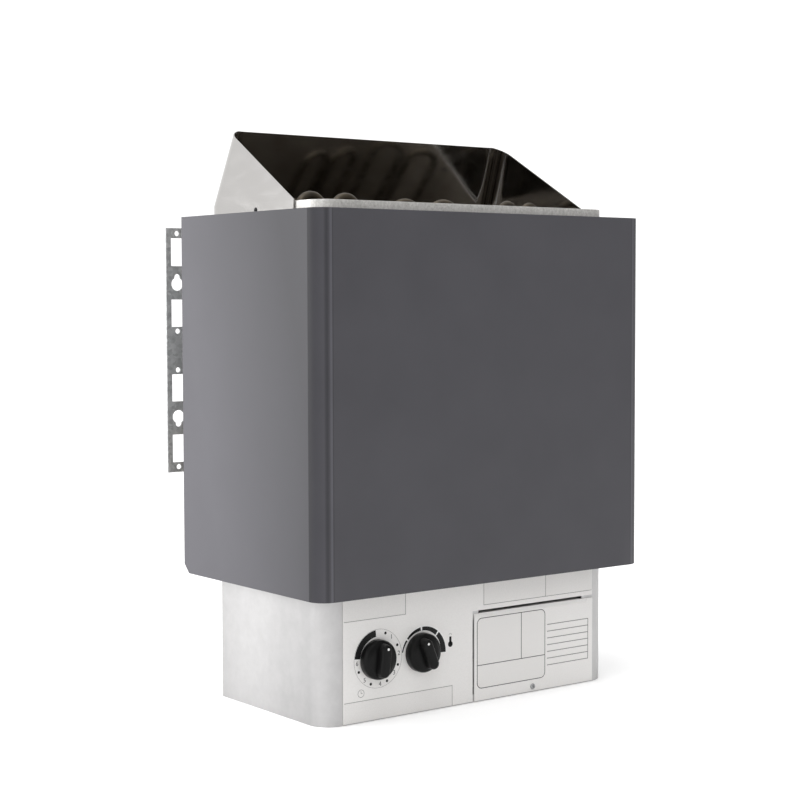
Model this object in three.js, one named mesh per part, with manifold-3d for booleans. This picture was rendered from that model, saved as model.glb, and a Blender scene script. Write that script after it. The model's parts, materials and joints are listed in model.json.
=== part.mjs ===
// Wall-hung electric sauna heater: a bent steel jacket around a stone bin, with a control box below.
// Millimetres, +Z up. The front faces -Y, and the wall rack's back face lies at the largest Y.

import * as THREE from 'three';
import { mergeVertices } from 'three/addons/utils/BufferGeometryUtils.js';
import Module from 'manifold-3d';

const wasm = await Module();
wasm.setup();

// Overall
const WIDTH = 410; // jacket, side to side
const DEPTH = 280; // jacket's front face to the wall
const FRONT = -DEPTH / 2;
const WALL = DEPTH / 2;
const SHEET = 1.2; // steel sheet of the jacket, bin and box
const FIT = 0.3; // gap between neighbouring pieces

// Outer jacket
const JACKET_LOW = 124;
const JACKET_HIGH = 484.6;
const JACKET_REAR = 102.4;
const JACKET_BEND = 17.5;
const JACKET_CORNER = 9; // cut off its lower rear corners

// Inner body: the control box and the stone bin share one plan
const BODY_HALF = 183;
const BOX_FRONT = -112;
const BIN_FRONT = -111;
const BODY_REAR = 66;
const BODY_BEND = 22;
const BOX_HIGH = 130.6;
const CARRIER_LOW = BOX_HIGH + FIT;
const CARRIER_HIGH = CARRIER_LOW + 1.5;
const BIN_LOW = CARRIER_HIGH + FIT;
const BIN_HIGH = 494;
const GRATE_LOW = 170;
const GRATE_SHEET = 1.5;
const FLANGE = 12; // folded edges of the grate and of the box floor

// Control panel and terminal cover
const PANEL_HALF = 160;
const PANEL_SHEET = 0.7;
const PANEL_FRONT = BOX_FRONT - FIT - PANEL_SHEET;
const COVER_LEFT = -0.4;
const COVER_GAP = 2; // open joint between the panel and the cover
const COVER_LOW = 1.2;
const COVER_HIGH = 89;
const COVER_FOLD = { low: 85, back: 0.9, right: 152 }; // where its top edge starts to lean back
const COVER_SLOT = { left: 6, right: 146, high: 91.9 };
const COVER_SCREW = { x: 76.5, z: 5.9 };

// Knobs, each on a 6 mm spindle
const KNOB_Z = 59.4;
const TIMER_X = -121.9;
const THERMOSTAT_X = -67.8;
const KNOB_R = 19.1;
const KNOB_SKIRT = 9.2;
const KNOB_HEIGHT = 18;
const KNOB_GAP = 0.6;
const GRIP = { half: 17.2, wide: 13, narrow: 10 };
const TIMER_TURN = -7; // degrees from straight up, positive to the left
const THERMOSTAT_TURN = 22;
const SPINDLE_R = 3;
const SPINDLE_HOLE_R = 5;

// Overheat limiter and its reset button, on the box floor
const RESET = { x: 30, y: 22, r: 4, hole: 6, low: 0.4, high: 7 };

// Heating elements: a double hairpin each, standing in the bin
const TUBE_R = 4.25;
const LOOP_R = 16.5; // centre line of the upper bends
const LOOP_SPACING = 44;
const ELEMENT_HIGH = 505;
const ELEMENT_DIP = 193; // underside of the lower bend
const ELEMENT_END = 112;
const ELEMENTS = [
  { name: 'left', x: -132, y: -52, turn: 6 },
  { name: 'middle', x: 18, y: -10, turn: -12 },
  { name: 'right', x: 133, y: -26, turn: 17 },
];
const LEG = LOOP_SPACING / 2 + LOOP_R; // terminal legs, either side of the element's middle
const BUSHING_R = 6.8;
const HEX_R = 11; // 19 mm across flats

// Steam deflector
const WING_SHEET = 1;
const WING_HALF = BODY_HALF + FIT + WING_SHEET;
const DEFLECTOR_REAR = 86.3;
const DEFLECTOR_BEND = 21;
const DEFLECTOR_LOW = 462;
const DEFLECTOR_KINK = BIN_HIGH + 0.4; // its walls stand straight up to here
const DEFLECTOR_HIGH = 569;
const DEFLECTOR_LEAN = 29.4; // how far the rear wall's top edge comes forwards
const WING_LEAN = 6.8; // how far each wing's top edge comes inwards
const WING_TIP = { y: -71.4, z: 495 };
const WING_FOOT_Y = -69;
const WING_SCREW = { y: -6, z: 487.5 };

// Wall rack
const RACK = { half: 202, low: 223, high: 475, sheet: 1.5 };
const RACK_HOLE_X = 189.3;
const RACK_HOLES = [20, 120.5]; // above and below the rack's middle
const RACK_HOLE_R = 2.8;
const RACK_WINDOWS = [[24.5, 52.6], [87, 115.7]];
const RACK_WINDOW_X = [182.4, 196.4];
const KEYHOLE = { z: 68.5, r: 7, neck: 3.4, end: 79 };
const CHEEK = { x: 150, sheet: 1.5, front: 84, low: 276, high: 422 };
const HOOK = { y: 96, z: 407.3, r: 3, notch: 3.5 };
const HANGER = { low: 270, high: 440, depth: 46, flange: 25, sheet: 1.5 };
const HANGER_X = CHEEK.x + CHEEK.sheet + 3 * FIT; // beside the rack's cheek
const HANGER_SCREW_X = HANGER_X + HANGER.sheet + HANGER.flange / 2;
const HANGER_SCREWS = [300, 410];
const LOCK_SCREW = { y: 98, z: 290 };
const SCREW_HOLE_R = 2.6;
const SCREW = { r: 2.2, head: 4, high: 2.6 };
const SMALL_SCREW = { r: 2, head: 3, high: 1.5 };

// Cable gland, in the box's back
const GLAND = { x: 120, z: 42, thread: 10, bore: 6, hex: 15.5 };

const FINISH = {
  jacket: { color: 0x5b5a60, roughness: 0.55, metalness: 0.3 },
  stainless: { color: 0xcfcdca, roughness: 0.35, metalness: 0.9 },
  mirror: { color: 0xc9c7c4, roughness: 0.12, metalness: 1 },
  galvanised: { color: 0x8a8b8c, roughness: 0.5, metalness: 0.8 },
  panel: { color: 0xd5d3d2, roughness: 0.45, metalness: 0.3 },
  blackPlastic: { color: 0x191919, roughness: 0.3, metalness: 0 },
  element: { color: 0x5a5042, roughness: 0.55, metalness: 0.8 },
  zinc: { color: 0xb8b9ba, roughness: 0.35, metalness: 0.9 },
  brass: { color: 0xb79a57, roughness: 0.35, metalness: 1 },
  ceramic: { color: 0xe9e6dc, roughness: 0.4, metalness: 0 },
  unit: { color: 0x3a3a3c, roughness: 0.6, metalness: 0 },
  copper: { color: 0xb07a52, roughness: 0.35, metalness: 1 },
  silicone: { color: 0x9c4a33, roughness: 0.7, metalness: 0 },
  resetRed: { color: 0xa82a22, roughness: 0.4, metalness: 0 },
};

const group = new THREE.Group();
group.name = 'sauna_heater';

// Solids

function toSolid(geometry) {
  const bare = geometry.clone();
  bare.deleteAttribute('normal');
  bare.deleteAttribute('uv');
  const merged = mergeVertices(bare, 1e-4);
  const triVerts = [];
  for (let i = 0; i < merged.index.count; i += 3) {
    const [a, b, c] = [0, 1, 2].map((k) => merged.index.getX(i + k));
    if (a !== b && b !== c && a !== c) triVerts.push(a, b, c);
  }
  const mesh = new wasm.Mesh({
    numProp: 3,
    vertProperties: new Float32Array(merged.attributes.position.array),
    triVerts: new Uint32Array(triVerts),
  });
  return new wasm.Manifold(mesh);
}

function toGeometry(solid) {
  const mesh = solid.getMesh();
  const geometry = new THREE.BufferGeometry();
  geometry.setAttribute('position', new THREE.BufferAttribute(mesh.vertProperties, mesh.numProp));
  geometry.setIndex(new THREE.BufferAttribute(mesh.triVerts, 1));
  geometry.computeVertexNormals();
  return geometry;
}

const join = (first, ...others) => others.reduce((sum, other) => sum.add(other), first);
const cut = (body, ...tools) => tools.reduce((rest, tool) => rest.subtract(tool), body);

function addPiece(name, solid, finish) {
  const mesh = new THREE.Mesh(toGeometry(solid), new THREE.MeshStandardMaterial(FINISH[finish]));
  mesh.name = name;
  group.add(mesh);
  return mesh;
}

function box(x, y, z) {
  const size = [x, y, z].map(([low, high]) => high - low);
  const middle = [x, y, z].map(([low, high]) => (low + high) / 2);
  return toSolid(new THREE.BoxGeometry(...size).translate(...middle));
}

// A round or many-sided bar along one axis; a and b are its place on the other two axes, in their order
function bar(axis, r, [low, high], a, b, sides = 14) {
  const rod = new THREE.CylinderGeometry(r, r, high - low, sides);
  const middle = (low + high) / 2;
  if (axis === 'x') rod.rotateZ(-Math.PI / 2).translate(middle, a, b);
  if (axis === 'y') rod.translate(a, middle, b);
  if (axis === 'z') rod.rotateX(Math.PI / 2).translate(a, b, middle);
  return toSolid(rod);
}

const hexBar = (axis, r, span, a, b) => bar(axis, r, span, a, b, 6);

function lathe(profile, sides) {
  return new THREE.LatheGeometry(profile.map(([r, y]) => new THREE.Vector2(r, y)), sides);
}

function extrude(shape, depth, curveSegments = 6) {
  return new THREE.ExtrudeGeometry(shape, { depth, bevelEnabled: false, curveSegments });
}

function polygon(points) {
  return new THREE.Shape(points.map(([x, y]) => new THREE.Vector2(x, y)));
}

// An outline in plan, as a plate or wall from one height to another
const standing = (shape, low, high) => toSolid(extrude(shape, high - low).translate(0, 0, low));

// An outline in Y and Z, as a plate across X
function across(shape, low, high) {
  const turn = new THREE.Matrix4().makeBasis(
    new THREE.Vector3(0, 1, 0),
    new THREE.Vector3(0, 0, 1),
    new THREE.Vector3(1, 0, 0),
  );
  return toSolid(extrude(shape, high - low).applyMatrix4(turn).translate(low, 0, 0));
}

// An outline in X and Z, as a plate that faces the front
function facing(shape, low, high) {
  return toSolid(extrude(shape, high - low).rotateX(Math.PI / 2).translate(0, high, 0));
}

// The plan of a sheet bent to a U that is open at the back
function bentSheet(half, front, rear, bend, sheet) {
  const shape = new THREE.Shape();
  const left = -half + bend;
  const right = half - bend;
  const centre = front + bend;
  shape.moveTo(-half, rear);
  shape.lineTo(-half, centre);
  shape.absarc(left, centre, bend, Math.PI, 1.5 * Math.PI, false);
  shape.lineTo(right, front);
  shape.absarc(right, centre, bend, 1.5 * Math.PI, 2 * Math.PI, false);
  shape.lineTo(half, rear);
  shape.lineTo(half - sheet, rear);
  shape.lineTo(half - sheet, centre);
  shape.absarc(right, centre, bend - sheet, 2 * Math.PI, 1.5 * Math.PI, true);
  shape.lineTo(left, front + sheet);
  shape.absarc(left, centre, bend - sheet, 1.5 * Math.PI, Math.PI, true);
  shape.lineTo(-half + sheet, rear);
  shape.closePath();
  return shape;
}

// The plan of a plate with two round front corners
function bodyPlan(half, front, rear, bend) {
  const shape = new THREE.Shape();
  shape.moveTo(-half, rear);
  shape.lineTo(-half, front + bend);
  shape.absarc(-half + bend, front + bend, bend, Math.PI, 1.5 * Math.PI, false);
  shape.lineTo(half - bend, front);
  shape.absarc(half - bend, front + bend, bend, 1.5 * Math.PI, 2 * Math.PI, false);
  shape.lineTo(half, rear);
  shape.closePath();
  return shape;
}

// A run through stations, one step each, so that straight stretches stay light
class Run extends THREE.Curve {
  constructor(stations) {
    super();
    this.stations = stations;
  }

  getPointAt(u, target = new THREE.Vector3()) {
    const last = this.stations.length - 1;
    return target.copy(this.stations[Math.round(u * last)]);
  }

  getTangentAt(u, target = new THREE.Vector3()) {
    const last = this.stations.length - 1;
    const i = Math.round(u * last);
    target.set(0, 0, 0);
    for (const k of [i - 1, i]) {
      if (k < 0 || k >= last) continue;
      target.add(new THREE.Vector3().subVectors(this.stations[k + 1], this.stations[k]).normalize());
    }
    return target.normalize();
  }
}

function tube(stations, r, sides) {
  const section = [];
  for (let i = 0; i < sides; i += 1) {
    const angle = (2 * Math.PI * i) / sides;
    section.push([r * Math.cos(angle), r * Math.sin(angle)]);
  }
  const steps = stations.length - 1;
  return toSolid(new THREE.ExtrudeGeometry(polygon(section), { steps, extrudePath: new Run(stations) }));
}

// A slotted pan-head screw along Y, its head towards +Y and its seat at the origin
function panScrew({ r, head, high }, length) {
  const profile = [
    [0, -length],
    [r, -length],
    [r, 0],
    [head, 0],
    [head, high * 0.45],
    [head * 0.7, high],
    [0, high],
  ];
  const slot = box([-head, head], [high * 0.5, high + 1], [-0.4, 0.4]);
  return cut(toSolid(lathe(profile, 12)), slot);
}

function addScrew(name, { x, y, z }, turn, length, size = SCREW) {
  const screw = addPiece(name, panScrew(size, length), 'zinc');
  screw.position.set(x, y, z);
  screw.rotation.z = turn;
}

const TO_FRONT = Math.PI; // turns of a screw's head, from +Y
const TO_REAR = 0;
const TO_RIGHT = -Math.PI / 2;
const TO_LEFT = Math.PI / 2;
const SIDES = [
  { name: 'left', sign: -1, outwards: TO_LEFT },
  { name: 'right', sign: 1, outwards: TO_RIGHT },
];
const spanOf = (a, b) => [Math.min(a, b), Math.max(a, b)];
const sideSpan = (sign, a, b) => spanOf(sign * a, sign * b); // from a to b out from the middle

// Places of the elements' terminal legs

function legsOf(element) {
  const angle = THREE.MathUtils.degToRad(element.turn);
  return [-LEG, LEG].map((u, i) => ({
    x: element.x + u * Math.cos(angle),
    y: element.y + u * Math.sin(angle),
    element,
    number: i + 1,
  }));
}

const LEGS = ELEMENTS.flatMap(legsOf);

// Sensor tubes rise along the bin's back, side by side
const SENSOR = { y: 57, spread: 12, r: 1.25, bulb: 3, bulbLow: 330, bulbHigh: 410, hole: 2.5 };
const UNIT_FRONT = BOX_FRONT + SHEET + FIT; // controls stand against the inside of the panel wall
const SENSORS = [
  {
    name: 'thermostat_sensor',
    x: -SENSOR.spread,
    start: new THREE.Vector3(THERMOSTAT_X, UNIT_FRONT + 30 + FIT, KNOB_Z),
    heading: new THREE.Vector3(0, 1, 0),
  },
  {
    name: 'limiter_sensor',
    x: SENSOR.spread,
    start: new THREE.Vector3(RESET.x, RESET.y, 33 + FIT),
    heading: new THREE.Vector3(0, 0, 1),
  },
];
const sensorHoles = (span) => SENSORS.map(({ x }) => bar('z', SENSOR.hole, span, x, SENSOR.y, 12));

// Jacket

function outerJacket() {
  const plan = bentSheet(WIDTH / 2, FRONT, JACKET_REAR, JACKET_BEND, SHEET);
  const corner = polygon([
    [JACKET_REAR - JACKET_CORNER, JACKET_LOW - 1],
    [JACKET_REAR + 1, JACKET_LOW - 1],
    [JACKET_REAR + 1, JACKET_LOW + JACKET_CORNER],
  ]);
  return cut(standing(plan, JACKET_LOW, JACKET_HIGH), across(corner, -WIDTH, WIDTH));
}

// Z-shaped brackets that hold the jacket off the bin
function jacketSpacer(sign) {
  const inner = BODY_HALF + FIT;
  const outer = WIDTH / 2 - SHEET - FIT;
  const sheet = 1.5;
  const foot = 22;
  const plan = polygon([
    [inner, -foot],
    [inner + sheet, -foot],
    [inner + sheet, -sheet],
    [outer, -sheet],
    [outer, foot],
    [outer - sheet, foot],
    [outer - sheet, 0],
    [inner, 0],
  ]);
  const turned = sign > 0 ? plan : polygon(plan.getPoints().map(({ x, y }) => [-x, y]).reverse());
  return standing(turned, 0, 40);
}

addPiece('outer_jacket', outerJacket(), 'jacket');
for (const { name, sign } of SIDES) {
  for (const [level, z] of [['lower', 190], ['upper', 400]]) {
    const spacer = addPiece(`jacket_spacer_${name}_${level}`, jacketSpacer(sign), 'galvanised');
    spacer.position.set(0, -20, z);
  }
}

// Control box

function boxShell() {
  const shell = standing(bentSheet(BODY_HALF, BOX_FRONT, BODY_REAR, BODY_BEND, SHEET), 0, BOX_HIGH);
  const through = [BOX_FRONT - 1, BOX_FRONT + SHEET + 1];
  const holes = [TIMER_X, THERMOSTAT_X].map((x) => bar('y', SPINDLE_HOLE_R, through, x, KNOB_Z));
  const access = box([14, 146], through, [14, 76]);
  const slot = box([COVER_SLOT.left, COVER_SLOT.right], through, [COVER_HIGH - 3, COVER_SLOT.high]);
  const joint = box([COVER_LEFT - COVER_GAP, COVER_LEFT + 3], through, [8, COVER_HIGH - 6]);
  const screwHole = bar('y', SCREW_HOLE_R, through, COVER_SCREW.x, COVER_SCREW.z, 12);
  return cut(shell, ...holes, access, slot, joint, screwHole);
}

function boxFloor() {
  const inset = SHEET + FIT;
  const half = BODY_HALF - inset;
  const rear = BODY_REAR - 2 * SHEET;
  const plate = standing(bodyPlan(half, BOX_FRONT + inset, rear, BODY_BEND - inset), 0, 1.5);
  const edge = [BOX_FRONT + BODY_BEND + 4, rear];
  const flanges = SIDES.map(({ sign }) => box(sideSpan(sign, half - SHEET, half), edge, [0, FLANGE]));
  const vents = [];
  for (let i = 0; i < 6; i += 1) {
    const x = -150 + i * 22;
    vents.push(box([x, x + 8], [-30, 30], [-1, 3]));
  }
  const reset = bar('z', RESET.hole, [-1, 3], RESET.x, RESET.y);
  return cut(join(plate, ...flanges), ...vents, reset);
}

function rearPlate(low, high) {
  const half = BODY_HALF - SHEET - FIT;
  return box([-half, half], [BODY_REAR - 1.5, BODY_REAR - FIT], [low, high]);
}

function boxBack() {
  const through = [BODY_REAR - 3, BODY_REAR + 1];
  const vents = [];
  for (let i = 0; i < 5; i += 1) {
    const x = -130 + i * 34;
    vents.push(box([x, x + 24], through, [96, 101]));
  }
  const entry = bar('y', GLAND.thread + FIT, through, GLAND.x, GLAND.z);
  return cut(rearPlate(FIT, BOX_HIGH), entry, ...vents);
}

function elementCarrier() {
  const span = [CARRIER_LOW - 1, CARRIER_HIGH + 1];
  const plan = bodyPlan(BODY_HALF, BOX_FRONT, BODY_REAR, BODY_BEND);
  const plate = standing(plan, CARRIER_LOW, CARRIER_HIGH);
  const holes = LEGS.map(({ x, y }) => bar('z', BUSHING_R + FIT, span, x, y));
  return cut(plate, ...holes, ...sensorHoles(span));
}

function controlPanel() {
  const left = -PANEL_HALF;
  const edge = COVER_LEFT - COVER_GAP;
  const panel = facing(
    polygon([
      [left, COVER_LOW],
      [edge, COVER_LOW],
      [edge, COVER_SLOT.high],
      [PANEL_HALF, COVER_SLOT.high],
      [PANEL_HALF, BOX_HIGH],
      [left, BOX_HIGH],
    ]),
    PANEL_FRONT,
    PANEL_FRONT + PANEL_SHEET,
  );
  const through = [PANEL_FRONT - 1, BOX_FRONT];
  return cut(panel, ...[TIMER_X, THERMOSTAT_X].map((x) => bar('y', SPINDLE_HOLE_R, through, x, KNOB_Z)));
}

// A plate whose top edge leans back and folds into the slot above it
function terminalCover() {
  const back = BOX_FRONT - FIT;
  const front = back - SHEET;
  const plate = box([COVER_LEFT, PANEL_HALF], [front, back], [COVER_LOW, COVER_HIGH]);
  const tongue = [COVER_SLOT.left + 2, COVER_SLOT.right - 2];
  const lip = box(tongue, [front, back + 8], [COVER_HIGH - SHEET, COVER_HIGH]);
  const fold = polygon([
    [front - 1, COVER_FOLD.low],
    [front, COVER_FOLD.low],
    [front + COVER_FOLD.back, COVER_HIGH + 0.01],
    [front - 1, COVER_HIGH + 0.01],
  ]);
  const hole = bar('y', SCREW_HOLE_R, [front - 1, back + 1], COVER_SCREW.x, COVER_SCREW.z, 12);
  return cut(join(plate, lip), across(fold, COVER_LEFT - 1, COVER_FOLD.right), hole);
}

addPiece('base_shell', boxShell(), 'stainless');
addPiece('base_floor', boxFloor(), 'galvanised');
addPiece('base_back', boxBack(), 'stainless');
addPiece('element_carrier', elementCarrier(), 'galvanised');
addPiece('control_panel', controlPanel(), 'panel');
addPiece('terminal_cover', terminalCover(), 'panel');
addScrew('cover_screw', { ...COVER_SCREW, y: BOX_FRONT - 2 * FIT - SHEET }, TO_FRONT, 8, SMALL_SCREW);

// Controls behind the panel

function timerUnit() {
  const plate = box([-25, 25], [UNIT_FRONT, UNIT_FRONT + 2], [-24, 24]);
  const drum = bar('y', 22, [UNIT_FRONT + 1, UNIT_FRONT + 32], 0, 0, 20);
  const contacts = box([-17, 17], [UNIT_FRONT + 30, UNIT_FRONT + 44], [-14, 14]);
  const bore = bar('y', SPINDLE_R + FIT, [UNIT_FRONT - 1, UNIT_FRONT + 10], 0, 0, 16);
  return cut(join(plate, drum, contacts), bore);
}

function thermostatUnit() {
  const plate = box([-21, 21], [UNIT_FRONT, UNIT_FRONT + 2], [-18, 18]);
  const body = box([-19, 19], [UNIT_FRONT + 1, UNIT_FRONT + 24], [-16, 16]);
  const boss = bar('y', 9, [UNIT_FRONT + 22, UNIT_FRONT + 30], 0, 0);
  const bore = bar('y', SPINDLE_R + FIT, [UNIT_FRONT - 1, UNIT_FRONT + 10], 0, 0, 16);
  return cut(join(plate, body, boss), bore);
}

const KNOB_BACK = PANEL_FRONT - KNOB_GAP;

function spindle() {
  return bar('y', SPINDLE_R, [KNOB_BACK - 9, UNIT_FRONT + 8], 0, 0, 16);
}

// A round skirt with a raised grip bar across it, standing out towards the front
function knob() {
  const skirt = lathe(
    [
      [0, 0],
      [KNOB_R, 0],
      [KNOB_R, KNOB_SKIRT * 0.45],
      [KNOB_R - 1, KNOB_SKIRT * 0.75],
      [KNOB_R - 3.4, KNOB_SKIRT],
      [KNOB_R * 0.45, KNOB_SKIRT + 1.6],
      [0, KNOB_SKIRT + 1.8],
    ],
    28,
  );
  skirt.rotateZ(Math.PI).translate(0, KNOB_BACK, 0);
  const grip = extrude(gripPlan(), KNOB_HEIGHT - 3);
  const place = grip.attributes.position;
  for (let i = 0; i < place.count; i += 1) {
    const up = place.getZ(i) / (KNOB_HEIGHT - 3);
    place.setX(i, place.getX(i) * (1 + up * (GRIP.narrow / GRIP.wide - 1)));
    place.setY(i, place.getY(i) * (1 - 0.1 * up));
  }
  grip.rotateX(Math.PI / 2).translate(0, KNOB_BACK - 3, 0);
  const bore = bar('y', SPINDLE_R + FIT, [KNOB_BACK - 10, KNOB_BACK + 1], 0, 0, 16);
  return cut(join(toSolid(skirt), toSolid(grip)), bore);
}

function gripPlan() {
  const r = GRIP.wide / 2;
  const end = GRIP.half - r;
  const shape = new THREE.Shape();
  shape.absarc(0, end, r, 0, Math.PI, false);
  shape.absarc(0, -end, r, Math.PI, 2 * Math.PI, false);
  shape.closePath();
  return shape;
}

const CONTROLS = [
  { name: 'timer', x: TIMER_X, turn: TIMER_TURN, unit: timerUnit() },
  { name: 'thermostat', x: THERMOSTAT_X, turn: THERMOSTAT_TURN, unit: thermostatUnit() },
];
for (const { name, x, turn, unit } of CONTROLS) {
  addPiece(`${name}_unit`, unit, 'unit').position.set(x, 0, KNOB_Z);
  addPiece(`${name}_shaft`, spindle(), 'zinc').position.set(x, 0, KNOB_Z);
  const cap = addPiece(`${name}_knob`, knob(), 'blackPlastic');
  cap.position.set(x, 0, KNOB_Z);
  cap.rotation.y = -THREE.MathUtils.degToRad(turn);
}

// Overheat limiter, standing on the box floor with its button through it

function limiterUnit() {
  const body = box([RESET.x - 18, RESET.x + 18], [RESET.y - 15, RESET.y + 15], [1.8, 27]);
  const boss = bar('z', 8, [25, 33], RESET.x, RESET.y);
  const bore = bar('z', RESET.r + FIT, [0, RESET.high + 5], RESET.x, RESET.y);
  return cut(join(body, boss), bore);
}

function resetButton() {
  const { r, low, high } = RESET;
  const profile = [[0, low], [r - 1.2, low], [r, low + 1], [r, high], [0, high]];
  return toSolid(lathe(profile, 20).rotateX(Math.PI / 2));
}

addPiece('limiter_unit', limiterUnit(), 'unit');
addPiece('reset_button', resetButton(), 'resetRed').position.set(RESET.x, RESET.y, 0);

// Sensor tubes: from the control up through the carrier and the grate to a bulb at the bin's back

function sensorTube({ x, start, heading }) {
  const path = new THREE.CatmullRomCurve3([
    start.clone().addScaledVector(heading, 5),
    start.clone().addScaledVector(heading, 12),
    new THREE.Vector3((start.x + x) / 2, 30, 88),
    new THREE.Vector3(x, SENSOR.y - 3, 108),
    new THREE.Vector3(x, SENSOR.y, 126),
  ]);
  const rise = [BIN_LOW + 10, SENSOR.bulbLow + 1].map((z) => new THREE.Vector3(x, SENSOR.y, z));
  const line = tube([start, ...path.getPoints(14), ...rise], SENSOR.r, 8);
  return join(line, bar('z', SENSOR.bulb, [SENSOR.bulbLow, SENSOR.bulbHigh], x, SENSOR.y, 12));
}

for (const sensor of SENSORS) {
  addPiece(sensor.name, sensorTube(sensor), 'copper');
}

function sensorClip() {
  const half = SENSOR.spread + 14;
  const front = SENSOR.y - SENSOR.bulb - FIT;
  const rear = BODY_REAR - 1.5 - FIT;
  const level = [362, 376];
  const depth = [front - SHEET, rear];
  const legs = SIDES.map(({ sign }) => box(sideSpan(sign, half - SHEET, half), depth, level));
  return join(box([-half, half], [front - SHEET, front], level), ...legs);
}

addPiece('sensor_clip', sensorClip(), 'stainless');

// Terminal block behind its cover, and the leads from it to the elements

const BLOCK = { x: [40, 122], y: [-88, -56], low: 1.8, high: 24, fin: 30, poles: 5 };

function terminalBlock() {
  const pitch = (BLOCK.x[1] - BLOCK.x[0] - 2) / BLOCK.poles;
  const fins = [];
  for (let i = 0; i <= BLOCK.poles; i += 1) {
    const x = BLOCK.x[0] + i * pitch;
    fins.push(box([x, x + 2], BLOCK.y, [BLOCK.high - 1, BLOCK.fin]));
  }
  return join(box(BLOCK.x, BLOCK.y, [BLOCK.low, BLOCK.high]), ...fins);
}

function elementLead(i) {
  const x = BLOCK.x[0] + 14 + i * 24;
  const start = new THREE.Vector3(x, BLOCK.y[1] + FIT, BLOCK.low + 12);
  const end = LEGS[i * 2 + 1];
  const path = new THREE.CatmullRomCurve3([
    new THREE.Vector3(x, start.y + 6, start.z),
    new THREE.Vector3(x, start.y + 14, start.z + 8),
    new THREE.Vector3(x, start.y + 18, 50 + i * 9),
    new THREE.Vector3((x + end.x) / 2, (start.y + 18 + end.y) / 2, 72 + i * 9),
    new THREE.Vector3(end.x, end.y, ELEMENT_END - 18),
    new THREE.Vector3(end.x, end.y, ELEMENT_END - 8),
  ]);
  const finish = new THREE.Vector3(end.x, end.y, ELEMENT_END - FIT);
  return tube([start, ...path.getPoints(15), finish], 1.8, 8);
}

addPiece('terminal_block', terminalBlock(), 'ceramic');
ELEMENTS.forEach(({ name }, i) => addPiece(`element_lead_${name}`, elementLead(i), 'silicone'));

// Cable gland through the box's back: body, cap outside and locknut inside

function gland() {
  const rear = BODY_REAR - FIT;
  const bore = (span) => bar('y', GLAND.bore, span, GLAND.x, GLAND.z);
  const thread = (span) => bar('y', GLAND.thread, span, GLAND.x, GLAND.z);
  const nutBore = (span) => bar('y', GLAND.thread + FIT, span, GLAND.x, GLAND.z);
  const hex = (span) => hexBar('y', GLAND.hex, span, GLAND.x, GLAND.z);
  const seat = rear + FIT;
  const outside = join(thread([rear - 12, seat + 14]), hex([seat, seat + 5]));
  const body = cut(outside, bore([rear - 20, seat + 30]));
  const dome = lathe([[0, 0], [14.5, 0], [14.5, 11], [12, 15], [8, 17], [0, 17]], 16);
  const cap = cut(
    toSolid(dome.translate(GLAND.x, seat + 5 + FIT, GLAND.z)),
    nutBore([seat, seat + 16]),
    bore([seat, seat + 40]),
  );
  const nut = cut(hex([rear - 8, rear - 1.2 - FIT]), nutBore([rear - 20, rear + 1]));
  return { body, cap, nut };
}

const glandPieces = gland();
addPiece('cable_gland', glandPieces.body, 'blackPlastic');
addPiece('gland_cap', glandPieces.cap, 'blackPlastic');
addPiece('gland_locknut', glandPieces.nut, 'blackPlastic');

// Stone bin

function binShell() {
  const plan = bentSheet(BODY_HALF, BIN_FRONT, BODY_REAR, BODY_BEND, SHEET);
  const shell = standing(plan, BIN_LOW, BIN_HIGH);
  const inlets = [];
  for (let i = 0; i < 4; i += 1) {
    const x = -140 + i * 75;
    inlets.push(box([x, x + 55], [BIN_FRONT - 1, BIN_FRONT + 3], [142, 156]));
  }
  for (const y of [-70, -5]) {
    inlets.push(box([-BODY_HALF - 1, BODY_HALF + 1], [y, y + 48], [142, 156]));
  }
  const screws = bar('x', SCREW_HOLE_R, [-BODY_HALF - 1, BODY_HALF + 1], WING_SCREW.y, WING_SCREW.z, 12);
  return cut(shell, ...inlets, screws);
}

function binBack() {
  const through = [BODY_REAR - 3, BODY_REAR + 1];
  const inlets = [];
  for (let i = 0; i < 4; i += 1) {
    const x = -140 + i * 75;
    inlets.push(box([x, x + 55], through, [142, 156]));
  }
  const screws = SIDES.flatMap(({ sign }) =>
    HANGER_SCREWS.map((z) => bar('y', SCREW_HOLE_R, through, sign * HANGER_SCREW_X, z, 12)));
  return cut(rearPlate(BIN_LOW, BIN_HIGH - 2), ...inlets, ...screws);
}

// A slotted plate that carries the stones, folded down at both sides
function binFloor() {
  const inset = SHEET + FIT;
  const half = BODY_HALF - inset;
  const rear = BODY_REAR - 2 * SHEET;
  const span = [GRATE_LOW - 1, GRATE_LOW + GRATE_SHEET + 1];
  const plate = standing(
    bodyPlan(half, BIN_FRONT + inset, rear, BODY_BEND - inset),
    GRATE_LOW,
    GRATE_LOW + GRATE_SHEET,
  );
  const edge = [BIN_FRONT + BODY_BEND + 4, rear];
  const level = [GRATE_LOW - FLANGE, GRATE_LOW + GRATE_SHEET];
  const flanges = SIDES.map(({ sign }) => box(sideSpan(sign, half - SHEET, half), edge, level));
  const slots = ELEMENTS.map(({ x, y, turn }) => {
    const slot = new THREE.BoxGeometry(2 * LEG + 12, 18, span[1] - span[0]);
    slot.rotateZ(THREE.MathUtils.degToRad(turn)).translate(x, y, (span[0] + span[1]) / 2);
    return toSolid(slot);
  });
  for (let i = 0; i < 7; i += 1) {
    const x = -138 + i * 42;
    slots.push(box([x, x + 24], [-98, -86], span));
    slots.push(box([x, x + 24], [30, 42], span));
  }
  return cut(join(plate, ...flanges), ...slots, ...sensorHoles(span));
}

addPiece('bin_shell', binShell(), 'stainless');
addPiece('bin_back', binBack(), 'stainless');
addPiece('bin_floor', binFloor(), 'stainless');

// Heating elements: four legs, two upper bends and one lower bend, drawn about the element's own middle

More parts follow.
